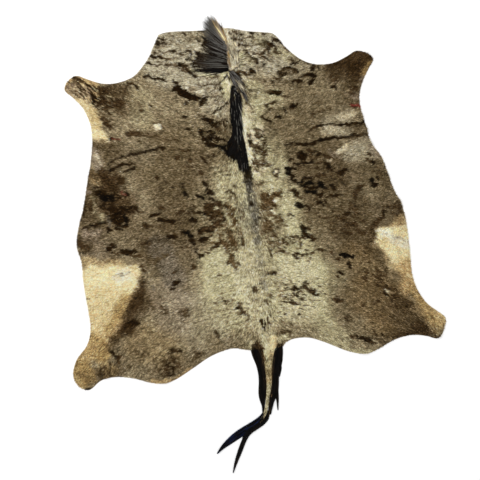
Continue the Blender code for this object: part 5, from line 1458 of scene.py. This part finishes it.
@dataclass
class ShortCoat:
    """The short hairs that lie over the hide along its ribs.

    Lengths are in metres. Stray is how far single hairs turn from their way, in radians, and the two tufts
    are noise by which neighbours turn together, with how far they turn. Widths are the least and the most
    that a hair's half width is multiplied by. Ends are where a hair's colours are read, as a share of its
    length, and how dark or light it is there: the darker end near the root is painted shade from the hairs
    lying over it, and the lighter tip is the hair's own paler band.
    """

    sheet: Sheet
    relief: Relief
    pattern: CoatPattern
    hairs: int = 178000
    pieces: int = 4
    seed: int = 7
    shortest: float = 0.0075
    longest: float = 0.012
    half_width: float = 0.0013
    widths: tuple[float, float] = (0.75, 1.25)
    past_edge: float = 0.003
    short_edge: float = 0.05
    root_depth: float = 0.0003
    lowest_tip: float = 0.0008
    highest_tip: float = 0.0028
    stray: float = 0.16
    tufts: tuple[tuple[Grain, float], ...] = ((Grain(0.06, 51), 0.5), (Grain(0.02, 52), 0.35))
    uneven: float = 0.26
    odd_share: float = 0.05
    odd_shades: tuple[float, float] = (0.5, 1.4)
    ends: tuple[tuple[float, float], ...] = ((0.3, 0.82), (0.9, 1.12))

    def build(self, finish: bpy.types.Material) -> list[bpy.types.Object]:
        """Roots the hairs at random places, as many for each area everywhere.

        Args:
            finish: The coat's material.

        Returns:
            The pieces, which share the hairs among them.
        """
        rng = np.random.default_rng(self.seed)
        spot = self._roots(rng)
        plan = self._blend(self.sheet.plan, spot)
        combed = self._blend(self.sheet.combed, spot)
        gap = self._blend(self.sheet.edge_gap[..., None], spot)[:, 0]
        bend = rng.normal(0, self.stray, len(plan))
        for grain, turn in self.tufts:
            bend = bend + turn * (grain.at(plan) - 0.5)
        way = turned(unit(self._blend(self.sheet.ways(), spot)), bend)
        length = rng.uniform(self.shortest, self.longest, len(plan))
        length = np.minimum(length * (0.7 + 0.3 * eased(gap / self.short_edge)), gap + self.past_edge)
        reach = way * length[:, None]
        tip = plan + reach
        skin = self.relief.top(plan, gap)
        rise = rng.uniform(self.lowest_tip, self.highest_tip, len(plan))
        tip_height = self.relief.lift(tip) + skin - self.relief.lift(plan) + rise
        root = np.column_stack([plan, skin - self.root_depth])
        paths = np.stack([root, np.column_stack([tip, tip_height])], axis=1)
        thinner = np.clip(length / self.shortest, 0.3, 1)
        width = self.half_width * rng.uniform(*self.widths, len(plan)) * thinner
        shares = self._tint(rng, plan, reach, combed)
        pieces = []
        for part in range(self.pieces):
            pick = slice(part, None, self.pieces)
            piece = strands(f"short_coat_{part + 1}", paths[pick], width[pick, None], shares[pick])
            piece.data.materials.append(finish)
            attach(piece, "root")
            pieces.append(piece)
        return pieces

    def _roots(self, rng: np.random.Generator) -> tuple[np.ndarray, np.ndarray]:
        """Picks random places on the grid, each cell as often as its area asks for.

        Args:
            rng: Where the random numbers come from.

        Returns:
            The cell's row and column, and the shares of the way through it, for each place.
        """
        plan = self.sheet.plan
        one, two = plan[1:, 1:] - plan[:-1, :-1], plan[:-1, 1:] - plan[1:, :-1]
        area = np.abs(one[..., 0] * two[..., 1] - one[..., 1] * two[..., 0]).ravel()
        pick = np.searchsorted(np.cumsum(area) / area.sum(), rng.random(self.hairs))
        pick = np.minimum(pick, len(area) - 1)
        return np.column_stack(np.divmod(pick, plan.shape[1] - 1)), rng.random((self.hairs, 2))

    @staticmethod
    def _blend(grid: np.ndarray, spot: tuple[np.ndarray, np.ndarray]) -> np.ndarray:
        """Reads a grid between its points, as the weighted mean of the cell's four corners.

        Args:
            grid: Values by station and share.
            spot: Cells and shares, as the roots have them.

        Returns:
            The values at the places.
        """
        (row, column), (down, along) = spot[0].T, spot[1].T[..., None]
        near = grid[row, column] * (1 - along) + grid[row, column + 1] * along
        far = grid[row + 1, column] * (1 - along) + grid[row + 1, column + 1] * along
        return near * (1 - down) + far * down

    def _tint(
        self, rng: np.random.Generator, plan: np.ndarray, reach: np.ndarray, combed: np.ndarray
    ) -> np.ndarray:
        """Gives the hairs the coat's colours near root and tip, every hair a bit darker or lighter.

        Args:
            rng: Where the random numbers come from.
            plan: Roots in metres.
            reach: The way from each root to its tip.
            combed: The roots along and across the hair, in metres.

        Returns:
            sRGB shares, by hair and end.
        """
        odd = rng.random(len(plan))
        shade = 1 + rng.normal(0, self.uneven, len(plan))
        dark, light = self.odd_shades
        shade = np.where(odd < self.odd_share, dark, np.where(odd > 1 - self.odd_share, light, shade))
        along = np.linalg.norm(reach, axis=1) * np.sign(combed[:, 0])
        ends = []
        # Each end's factor: painted shade near the root, the hair's own paler band at the tip
        for share, factor in self.ends:
            beside = combed + np.column_stack([share * along, np.zeros(len(plan))])
            colours = self.pattern.colours(plan + share * reach, beside)
            quiet = self.pattern.quiet(colours)
            own = self.pattern.softened(factor, quiet) * (1 + (shade - 1) * quiet)
            ends.append(shaded(colours, own) * LIT)
        return np.clip(np.stack(ends, axis=1), DARKEST, LIGHTEST)


class Tress(NamedTuple):
    """Strands that root round a line from (x0, y0) to (x1, y1), in millimetres and degrees.

    Headings turn counter-clockwise from +X, and bend is how far a strand turns on its way. Headings and
    lengths go evenly from the line's start to its end. Pile is how high the topmost strands lie.
    """

    x0: float
    y0: float
    x1: float
    y1: float
    spread: float
    heading0: float
    heading1: float
    length0: float
    length1: float
    bend: float
    strands: int
    main: Tone
    streak: Tone
    streaks: float
    tip: Tone
    pile: float


CREST = table(Tress, (
    (0, 589, 2, 604, 4, 184, 178, 156, 168, -14, 100, BLACK, INK, 0.3, INK, 6),
    (1, 602, 3, 625, 4, 177, 167, 168, 150, -12, 130, INK, SLATE, 0.42, UMBER, 8),
    (2, 622, 5, 655, 4, 167, 156, 142, 118, -12, 150, INK, SLATE, 0.46, UMBER, 9),
    (4, 650, 6, 684, 4, 156, 145, 116, 120, -8, 130, INK, STEEL, 0.45, INK, 9),
    (5, 680, 7, 698, 4, 145, 133, 124, 140, -3, 110, STEEL, INK, 0.4, SLATE, 9),
    (5, 690, 8, 704, 3, 132, 120, 140, 146, 0, 150, STEEL, INK, 0.34, SLATE, 10),
    (6, 696, 9, 706, 3, 120, 113, 152, 144, 0, 110, MAUVE, SLATE, 0.45, SLATE, 10),
    (8, 700, 10, 710, 3, 116, 109, 142, 120, 0, 60, MAUVE, CREAM, 0.45, TAN, 11),
    (9, 704, 11, 716, 2, 110, 104, 118, 74, 0, 50, UMBER, SAND, 0.4, UMBER, 10),
    (8, 594, 8, 690, 6, 94, 100, 50, 46, 0, 90, TAN, MAUVE, 0.6, CREAM, 3),
    (24, 600, 22, 690, 8, 88, 98, 46, 44, 0, 80, GREY, BROWN, 0.26, CREAM, 2),
    (44, 604, 40, 680, 9, 84, 98, 42, 40, 0, 50, GREY, BROWN, 0.36, CREAM, 2),
    (54, 604, 56, 650, 5, -4, 12, 44, 40, 4, 24, PALE, BROWN, 0.35, WHITE, 2),
))

BAND = table(Tress, (
    (4, 590, 8, 556, 4, -60, -72, 92, 90, 0, 70, INK, STEEL, 0.45, INK, 3),
    (10, 586, 24, 560, 5, -40, -56, 80, 92, -16, 80, INK, STEEL, 0.45, UMBER, 3),
    (22, 562, 40, 520, 8, -52, -60, 84, 80, -20, 60, UMBER, GREY, 0.4, UMBER, 3),
    (34, 520, 50, 480, 5, -58, -64, 70, 56, -12, 40, INK, STEEL, 0.5, STEEL, 3),
    (9, 522, 7, 474, 5, -102, -112, 56, 62, 8, 90, BLACK, INK, 0.3, BLACK, 5),
    (12, 522, 20, 476, 5, -74, -70, 60, 66, -8, 120, BLACK, STEEL, 0.18, INK, 6),
    (26, 494, 30, 450, 6, -70, -84, 60, 62, -16, 80, BLACK, STEEL, 0.15, INK, 6),
    (0, 470, -4, 310, 7, -98, -106, 76, 84, 0, 170, BLACK, SLATE, 0.14, BLACK, 6),
    (18, 466, 12, 300, 9, -86, -84, 76, 80, 0, 190, BLACK, SLATE, 0.14, BLACK, 6),
    (-10, 325, -12, 300, 6, -122, -150, 50, 44, 0, 50, BLACK, INK, 0.2, BLACK, 5),
    (-14, 282, -20, 246, 8, -128, -150, 50, 40, 0, 120, BLACK, INK, 0.2, BLACK, 6),
    (7, 470, 6, 280, 7, -92, -92, 80, 80, 0, 130, BLACK, SLATE, 0.14, BLACK, 6),
    (0, 250, 2, 196, 12, -94, -92, 60, 56, 0, 100, BLACK, INK, 0.2, INK, 5),
    (-6, 300, -14, 234, 8, -100, -98, 56, 46, 0, 90, BLACK, INK, 0.25, BLACK, 6),
    (16, 300, 20, 205, 9, -84, -86, 65, 56, 0, 120, BLACK, INK, 0.25, BLACK, 6),
    (4, 224, 16, 180, 13, -96, -88, 46, 46, 0, 110, BLACK, STEEL, 0.15, INK, 4),
))


class Knot(NamedTuple):
    """A point of a guide in millimetres, and half the width of the hair along it there."""

    x: float
    y: float
    half_width: float


class Guide(NamedTuple):
    """Strands that follow one line; each of them is as long as a share of the line."""

    knots: tuple[Knot, ...]
    strands: int
    share: float
    main: Tone
    streak: Tone
    tip: Tone
    pile: float


LEFT_TAIL = (
    Guide(
        table(Knot, (
            (-52, -585, 15), (-46, -625, 18), (-38, -665, 16), (-35, -705, 15), (-37, -750, 16),
            (-44, -790, 16), (-46, -812, 13), (-46, -840, 6), (-52, -868, 3),
        )),
        strands=380, share=0.28, main=BLACK, streak=INK, tip=BLACK, pile=8,
    ),
    Guide(
        table(Knot, ((-33, -592, 7), (-24, -635, 7), (-22, -685, 6), (-25, -740, 6), (-31, -800, 4))),
        strands=100, share=0.4, main=INK, streak=RUST, tip=BLACK, pile=6,
    ),
)
# The navy tip of the third guide is painted sheen on black hair
RIGHT_TAIL = (
    Guide(
        table(Knot, (
            (55, -585, 14), (50, -615, 19), (42, -655, 21), (32, -690, 18), (22, -725, 14),
            (16, -760, 15), (8, -795, 15), (-6, -820, 9), (-14, -850, 6), (-22, -880, 3),
        )),
        strands=380, share=0.28, main=BLACK, streak=INK, tip=BLACK, pile=8,
    ),
    Guide(
        table(Knot, ((22, -740, 8), (19, -790, 6.5), (15, -830, 5), (12, -867, 2))),
        strands=70, share=0.55, main=BLACK, streak=INK, tip=INK, pile=5,
    ),
    Guide(
        table(Knot, ((50, -650, 9), (48, -690, 5), (38, -727, 2))),
        strands=40, share=0.6, main=BLACK, streak=INK, tip=SHEEN_NAVY, pile=4,
    ),
    Guide(
        table(Knot, (
            (46, -594, 7), (32, -632, 7), (19, -675, 7), (12, -720, 6), (5, -765, 5),
            (-6, -800, 6), (-17, -835, 6), (-24, -865, 5), (-35, -896, 3),
        )),
        strands=140, share=0.3, main=INK, streak=RUST, tip=BLACK, pile=6,
    ),
)
# The navy streaks and tips are painted sheen on black hair
TUFT = (
    Guide(
        table(Knot, (
            (-46, -868, 5), (-66, -893, 10), (-100, -912, 14), (-150, -937, 18),
            (-185, -955, 15), (-210, -970, 13), (-240, -989, 9), (-268, -1014, 2),
        )),
        strands=300, share=0.42, main=BLACK, streak=SHEEN_NAVY, tip=SHEEN_NAVY, pile=8,
    ),
    Guide(
        table(Knot, (
            (-30, -862, 4), (-36, -892, 9), (-60, -913, 9), (-95, -929, 10), (-128, -946, 11),
            (-150, -978, 9), (-170, -1015, 9), (-190, -1052, 7), (-212, -1104, 2),
        )),
        strands=300, share=0.34, main=BLACK, streak=INK, tip=SHEEN_NAVY, pile=8,
    ),
    Guide(
        table(Knot, ((-128, -944, 9), (-146, -962, 8), (-150, -985, 5), (-158, -1004, 2))),
        strands=60, share=0.5, main=BLACK, streak=INK, tip=SHEEN_NAVY, pile=5,
    ),
)


@dataclass
class LongHair:
    """Long coarse hair, as strands that are piled on each other and sink towards their tips.

    Lengths are in metres, but for the sizes of locks, in millimetres. Wander is how far single strands
    turn from their heading, in degrees. The least part and the bottom are where the lowest strands lie, as
    a share of the pile and over what they lie on. A strand starts at the root's share of its level, rises
    over the root part and has sunk by a share at its tip. Guided strands sway a little. A lock is where
    neighbours share a tone. Pairs are the least and the most that single strands' bends, lengths, widths
    and shades are multiplied by.
    """

    rng: np.random.Generator
    rings: int = 6
    half_width: float = 0.0011
    wander: float = 3.5
    bends: tuple[float, float] = (0.5, 1.5)
    lengths: tuple[float, float] = (0.55, 1.04)
    guided_lengths: tuple[float, float] = (0.7, 1.1)
    widths: tuple[float, float] = (0.75, 1.3)
    shades: tuple[float, float] = (0.5, 1.6)
    skin: float = 0.0035
    edge_slope: float = 0.012
    bottom: float = 0.0004
    off_floor: float = 0.0006
    least_part: float = 0.1
    root_level: float = 0.25
    root_part: float = 0.2
    sunk: float = 0.55
    sway: float = 0.06
    sways: float = 9.0
    steepest: float = 0.97
    least_way: float = 1e-5
    guide_points: int = 200
    rounding: int = 12
    thinnest: float = 0.0008
    core_rings: int = 24
    core_width: float = 0.84
    core_rise: float = 0.22
    guide_streaks: float = 0.3
    lock: float = 2.2
    lock_shade: float = 1.7
    single: float = 0.25
    uneven_locks: float = 0.5
    uneven_strands: float = 0.12
    tip_from: float = 0.55
    tip_over: float = 0.4
    streak_seed: int = 61
    shade_seed: int = 62

    def combed(self, name: str, tresses: tuple[Tress, ...], edge_y: float) -> bpy.types.Object:
        """Lays the strands of a table of tresses on the hide.

        A strand's heading goes evenly from its root's to its tip's, and its points follow the heading.

        Args:
            name: The piece's name.
            tresses: The table.
            edge_y: Where the hide ends, in metres; past it strands sink to the floor.

        Returns:
            The piece.
        """
        paths, shares = [], []
        part = np.linspace(0, 1, self.rings + 1)
        for row in tresses:
            along = self.rng.random(row.strands)
            root = np.stack([row.x0 + along * (row.x1 - row.x0), row.y0 + along * (row.y1 - row.y0)], axis=1)
            root = (root + self.rng.uniform(-1, 1, root.shape) * row.spread) * MM
            heading = row.heading0 + along * (row.heading1 - row.heading0)
            heading = heading + self.rng.normal(0, self.wander, row.strands)
            turn = row.bend * self.rng.uniform(*self.bends, row.strands)
            angle = np.radians(heading[:, None] + turn[:, None] * (part[:-1] + 0.5 / self.rings))
            length = row.length0 + along * (row.length1 - row.length0)
            length = length * self.rng.uniform(*self.lengths, row.strands) * MM
            step = (length / self.rings)[:, None, None] * np.stack([np.cos(angle), np.sin(angle)], axis=-1)
            plan = np.concatenate([root[:, None], root[:, None] + np.cumsum(step, axis=1)], axis=1)
            skin = self.skin * (1 - eased((plan[..., 1] - edge_y) / self.edge_slope))
            height = skin + self._pile(row.strands, row.pile, part)
            paths.append(np.concatenate([plan, height[..., None]], axis=2))
            shares.append(self._tint(row, root, part))
        return self._finish(name, paths, shares)

    def guided(self, name: str, guides: tuple[Guide, ...]) -> bpy.types.Object:
        """Lays strands along guides on the floor.

        A strand keeps its share of the guide's half width, so that strands close up where the guide
        narrows, and it waves a little. The pile is highest in the middle, as a half circle is.

        Args:
            name: The piece's name.
            guides: The lines with their widths.

        Returns:
            The piece.
        """
        paths, shares = [], []
        part = np.linspace(0, 1, self.rings + 1)
        for row in guides:
            line, half, aside = self.line_of(row)
            start = self.rng.random(row.strands) * (1 - 0.6 * row.share)
            length = row.share * self.rng.uniform(*self.guided_lengths, (row.strands, 1))
            where = np.minimum(start[:, None] + length * part, 1)
            place = np.linspace(0, 1, len(line))
            swaying = 1 - self.sway + self.sway * np.cos(self.sways * where)
            off = self.rng.uniform(-1, 1, row.strands)[:, None] * swaying
            reach = np.interp(where, place, half) * off
            middle = np.stack([np.interp(where, place, line[:, axis]) for axis in (0, 1)], axis=-1)
            side = np.stack([np.interp(where, place, aside[:, axis]) for axis in (0, 1)], axis=-1)
            plan = middle + reach[..., None] * side
            # Points past the guide's end would fall together and leave a strand without a way
            plan[..., 0] += np.linspace(0, self.least_way, self.rings + 1)
            mound = np.sqrt(1 - np.clip(off, -self.steepest, self.steepest) ** 2)
            rise = self.off_floor + self._pile(row.strands, row.pile, part) * mound
            paths.append(np.concatenate([plan, rise[..., None]], axis=2))
            shares.append(self._tint(row, np.column_stack([0.02 * off, start]), part))
        return self._finish(name, paths, shares)

    def core(self, name: str, guide: Guide) -> bpy.types.Object:
        """Makes the dense inner hair along a guide, as one flat strand.

        Args:
            name: The piece's name.
            guide: The line with its widths.

        Returns:
            The piece.
        """
        line, half, _ = self.line_of(guide)
        pick = np.linspace(0, len(line) - 1, self.core_rings + 1).round().astype(int)
        path = np.column_stack([line[pick], np.full(self.core_rings + 1, self.bottom)])
        shares = np.tile(guide.main.share, (1, self.core_rings + 1, 1))
        return strands(name, path[None], self.core_width * half[None, pick[:-1]], shares, self.core_rise)

    def line_of(self, guide: Guide) -> tuple[np.ndarray, np.ndarray, np.ndarray]:
        """Rounds a guide's bends with a moving mean, over evenly spaced points.

        Args:
            guide: The line with its widths.

        Returns:
            The line's points in metres, the half widths there, and the ways to its side.
        """
        knots = np.array(guide.knots, float) * MM
        passed = np.concatenate([[0], np.cumsum(np.linalg.norm(np.diff(knots[:, :2], axis=0), axis=1))])
        even = np.linspace(0, passed[-1], self.guide_points)
        fine = np.stack([np.interp(even, passed, knots[:, i]) for i in range(3)], axis=1)
        reach = self.rounding
        ends = np.vstack([2 * fine[0] - fine[reach:0:-1], fine, 2 * fine[-1] - fine[-2 : -2 - reach : -1]])
        window = np.hanning(2 * reach + 3)[1:-1]
        window = window / window.sum()
        smooth = np.stack([np.convolve(ends[:, i], window, "valid") for i in range(3)], axis=1)
        way = unit(np.gradient(smooth[:, :2], axis=0))
        aside = np.stack([way[:, 1], -way[:, 0]], axis=1)
        return smooth[:, :2], np.maximum(smooth[:, 2], self.thinnest), aside

    def _pile(self, count: int, pile: float, part: np.ndarray) -> np.ndarray:
        """Piles strands: each rises from its root to its own level and sinks to its tip.

        Args:
            count: How many strands there are.
            pile: The highest level, in millimetres.
            part: The shares of a strand's length at which heights are wanted.

        Returns:
            Heights in metres over what the strands lie on, by strand and share.
        """
        level = self.rng.uniform(self.least_part, 1, count)[:, None] * pile * MM
        risen = self.root_level + (1 - self.root_level) * eased(part / self.root_part)
        return self.bottom + level * risen * (1 - self.sunk * part)

    def _tint(self, row: Tress | Guide, root: np.ndarray, part: np.ndarray) -> np.ndarray:
        """Colours strands with the main tone or the streaks', and with the tip's tone in the last part.

        Neighbours mostly share a tone, since it follows noise over the roots, so that locks show.

        Args:
            row: The strands' row of a table.
            root: Their roots, or other places that keep neighbours together, in metres.
            part: The shares of a strand's length at which colours are wanted.

        Returns:
            sRGB shares, by strand and share of its length.
        """
        count = len(root)
        share = row.streaks if isinstance(row, Tress) else self.guide_streaks
        lock = (1 - self.single) * noise(root / (self.lock * MM), self.streak_seed)
        lock = lock + self.single * self.rng.random(count)
        tone = np.where((lock > np.quantile(lock, 1 - share))[:, None], row.streak.share, row.main.share)
        shade = 1 + self.uneven_locks * (noise(root / (self.lock_shade * MM), self.shade_seed) - 0.5)
        shade = (shade + self.rng.normal(0, self.uneven_strands, count)).clip(*self.shades)[:, None, None]
        end = eased((part - self.tip_from) / self.tip_over)[None, :, None]
        return np.clip((tone[:, None] * (1 - end) + row.tip.share * end) * shade, DARKEST, 1)

    def _finish(self, name: str, paths: list[np.ndarray], shares: list[np.ndarray]) -> bpy.types.Object:
        """Joins the strands of all rows in one piece.

        A strand's width is 0.75 plus a half wave that is highest at a third of its length, less a part
        that grows with the square of the way to its tip.

        Args:
            name: The piece's name.
            paths: Centre lines in metres, an array for each row.
            shares: sRGB shares, an array for each row.

        Returns:
            The piece.
        """
        joined = np.concatenate(paths)
        part = np.linspace(0, 1, self.rings + 1)[:-1]
        taper = 0.75 + 0.4 * np.sin(np.pi * np.minimum(part / 0.66, 1)) - 0.45 * part**2
        widths = self.half_width * self.rng.uniform(*self.widths, (len(joined), 1)) * taper
        return strands(name, joined, widths, np.concatenate(shares))


@dataclass
class Mane:
    """The crest, which lies to the left and ends in a tuft past the neck, and the band along the spine."""

    hair: LongHair
    neck_y: float = 0.768

    def build(self, finish: bpy.types.Material) -> list[bpy.types.Object]:
        """Makes both parts.

        Args:
            finish: The mane's material.

        Returns:
            The pieces, attached to the root body.
        """
        crest = self.hair.combed("mane_crest_strands", CREST, self.neck_y)
        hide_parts("mane_crest")
        band = self.hair.combed("mane_band_strands", BAND, self.neck_y)
        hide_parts("mane_band")
        for piece in (crest, band):
            piece.data.materials.append(finish)
            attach(piece, "root")
        return [crest, band]


@dataclass
class Tail:
    """The long hair beside the tail's strip, and the tuft with two forks at its end."""

    hair: LongHair

    def build(self, finish: bpy.types.Material) -> list[bpy.types.Object]:
        """Makes the strands of each part over a dense core for each guide.

        Args:
            finish: The tail hair's material.

        Returns:
            The pieces, attached to the root body.
        """
        parts = {"tail_hair_left": LEFT_TAIL, "tail_hair_right": RIGHT_TAIL, "tail_tuft": TUFT}
        pieces = []
        for node, guides in parts.items():
            loose = self.hair.guided(f"{node}_strands", guides)
            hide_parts(node)
            pieces.append(loose)
            pieces += [self.hair.core(f"{node}_core_{i + 1}", guide) for i, guide in enumerate(guides)]
        for piece in pieces:
            piece.data.materials.append(finish)
            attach(piece, "root")
        return pieces


@dataclass(frozen=True)
class Finish:
    """What the finishes share: a named shader with its roughness and gloss, and noise on the object."""

    name: str
    roughness: float
    specular: float

    def _blank(self) -> bpy.types.Material:
        """Starts the material.

        Returns:
            A material with only its shader, without a colour.
        """
        material = bpy.data.materials.new(self.name)
        material.use_nodes = True
        shader = material.node_tree.nodes["Principled BSDF"]
        shader.inputs["Roughness"].default_value = self.roughness
        shader.inputs["Specular IOR Level"].default_value = self.specular
        return material

    @staticmethod
    def _noise(material: bpy.types.Material, scale: float, detail: float) -> bpy.types.NodeSocket:
        """Adds noise on Object coordinates.

        Args:
            material: What it is added to.
            scale: How many of its waves a metre takes.
            detail: How many finer layers it has.

        Returns:
            The socket that gives its value.
        """
        nodes = material.node_tree.nodes
        place = nodes.new("ShaderNodeTexCoord")
        waves = nodes.new("ShaderNodeTexNoise")
        waves.inputs["Scale"].default_value = scale
        waves.inputs["Detail"].default_value = detail
        material.node_tree.links.new(place.outputs["Object"], waves.inputs["Vector"])
        return waves.outputs["Fac"]


@dataclass(frozen=True)
class HairFinish(Finish):
    """Hair whose colour is the mesh's own attribute, made a little uneven along fine grains."""

    grain: float = 0.12
    grain_scale: float = 420.0

    def make(self) -> bpy.types.Material:
        """Makes the material.

        Returns:
            The material, whose colour is the attribute times 1 less or plus the grain.
        """
        material = self._blank()
        nodes, links = material.node_tree.nodes, material.node_tree.links
        tone = nodes.new("ShaderNodeAttribute")
        tone.attribute_name = "tone"
        shade = nodes.new("ShaderNodeMapRange")
        shade.inputs["From Min"].default_value = 0.3
        shade.inputs["From Max"].default_value = 0.7
        shade.inputs["To Min"].default_value = 1 - self.grain
        shade.inputs["To Max"].default_value = 1 + self.grain
        links.new(self._noise(material, self.grain_scale, 2.0), shade.inputs["Value"])
        tinted = nodes.new("ShaderNodeVectorMath")
        tinted.operation = "SCALE"
        links.new(tone.outputs["Color"], tinted.inputs[0])
        links.new(shade.outputs["Result"], tinted.inputs["Scale"])
        links.new(tinted.outputs["Vector"], nodes["Principled BSDF"].inputs["Base Color"])
        return material


@dataclass(frozen=True)
class LeatherFinish(Finish):
    """Bare tanned leather: pale, matt and faintly blotched, with fine fibres that stand up a little."""

    blotch_scale: float = 7.0
    blotch_shades: tuple[float, float] = (0.90, 1.05)
    blotch_ends: tuple[float, float] = (0.3, 0.7)
    fibre_scale: float = 600.0
    fibre_height: float = 0.0006
    fibre_strength: float = 0.25

    def make(self) -> bpy.types.Material:
        """Makes the material.

        Returns:
            The material.
        """
        material = self._blank()
        nodes, links = material.node_tree.nodes, material.node_tree.links
        shader = nodes["Principled BSDF"]
        ramp = nodes.new("ShaderNodeValToRGB")
        for element, factor, end in zip(ramp.color_ramp.elements, self.blotch_shades, self.blotch_ends):
            element.color = (*linear(np.clip(Tone.LEATHER.share * factor, 0, 1)), 1)
            element.position = end
        links.new(self._noise(material, self.blotch_scale, 5.0), ramp.inputs["Fac"])
        links.new(ramp.outputs["Color"], shader.inputs["Base Color"])
        bump = nodes.new("ShaderNodeBump")
        bump.inputs["Strength"].default_value = self.fibre_strength
        bump.inputs["Distance"].default_value = self.fibre_height
        links.new(self._noise(material, self.fibre_scale, 3.0), bump.inputs["Height"])
        links.new(bump.outputs["Normal"], shader.inputs["Normal"])
        return material


@dataclass(frozen=True)
class Studio:
    """A white floor, even light from all round with a large soft lamp above, and the camera overhead.

    Lengths are in metres and angles in degrees. The camera looks straight down and leans as the photo does.
    """

    floor_white: float = 0.92
    floor_half: float = 5.0
    floor_drop: float = 0.0004
    world: float = 0.90
    lamp_watts: float = 75.0
    lamp_size: float = 3.0
    lamp_at: tuple[float, float, float] = (-1.6, 1.4, 3.4)
    lamp_turn: tuple[float, float, float] = (-24, -27, 0)
    camera_at: tuple[float, float, float] = (-0.0484, -0.1303, 4.805)
    lean: float = 7.87
    lens_mm: float = 85.0
    sensor_mm: float = 36.0
    far: float = 30.0

    def build(self) -> None:
        """Sets up floor, light and camera."""
        scene = bpy.context.scene
        scene.view_settings.view_transform = "Standard"
        self._floor()
        world = bpy.data.worlds.new("even_light")
        world.use_nodes = True
        background = world.node_tree.nodes["Background"]
        background.inputs["Color"].default_value = (1, 1, 1, 1)
        background.inputs["Strength"].default_value = self.world
        scene.world = world
        lamp = bpy.data.lights.new("soft_lamp", "AREA")
        lamp.shape = "SQUARE"
        lamp.size = self.lamp_size
        lamp.energy = self.lamp_watts
        lit = bpy.data.objects.new("soft_lamp", lamp)
        lit.location = self.lamp_at
        lit.rotation_euler = [math.radians(angle) for angle in self.lamp_turn]
        scene.collection.objects.link(lit)
        lens = bpy.data.cameras.new("overhead")
        lens.lens = self.lens_mm
        lens.sensor_width = self.sensor_mm
        lens.clip_end = self.far
        camera = bpy.data.objects.new("overhead", lens)
        camera.location = self.camera_at
        camera.rotation_euler = (0, 0, math.radians(-self.lean))
        scene.collection.objects.link(camera)
        scene.camera = camera

    def _floor(self) -> None:
        """Lays a plain white floor just under the hide."""
        mesh = bpy.data.meshes.new("floor")
        corners = [(x * self.floor_half, y * self.floor_half, -self.floor_drop) for x, y in
                   ((-1, -1), (1, -1), (1, 1), (-1, 1))]
        mesh.from_pydata(corners, [], [(0, 1, 2, 3)])
        floor = bpy.data.objects.new("floor", mesh)
        bpy.context.scene.collection.objects.link(floor)
        paint = bpy.data.materials.new("white_floor")
        paint.use_nodes = True
        shader = paint.node_tree.nodes["Principled BSDF"]
        shader.inputs["Base Color"].default_value = (self.floor_white,) * 3 + (1,)
        shader.inputs["Roughness"].default_value = 0.9
        shader.inputs["Specular IOR Level"].default_value = 0.0
        mesh.materials.append(paint)


def main() -> None:
    """Builds the studio and the object, sub-assembly by sub-assembly, and reports each piece."""
    logging.basicConfig(level=logging.INFO, format="%(message)s")
    sheet, relief, pattern = Sheet(), Relief(), CoatPattern()
    coat = HairFinish("short_coat", roughness=0.75, specular=0.05).make()
    mane = HairFinish("mane_hair", roughness=0.50, specular=0.07).make()
    tail = HairFinish("tail_hair", roughness=0.45, specular=0.07).make()
    leather = LeatherFinish("bare_leather", roughness=0.85, specular=0.25).make()
    Studio().build()
    pieces = Hide(sheet, relief, pattern).build(coat, leather)
    pieces += ShortCoat(sheet, relief, pattern).build(coat)
    long_hair = LongHair(np.random.default_rng(seed=19))
    pieces += Mane(long_hair).build(mane)
    pieces += Tail(long_hair).build(tail)
    for piece in pieces:
        log.info("%s: %d faces in %s", piece.name, len(piece.data.polygons), piece.data.materials[0].name)
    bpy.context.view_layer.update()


if __name__ == "__main__":
    main()
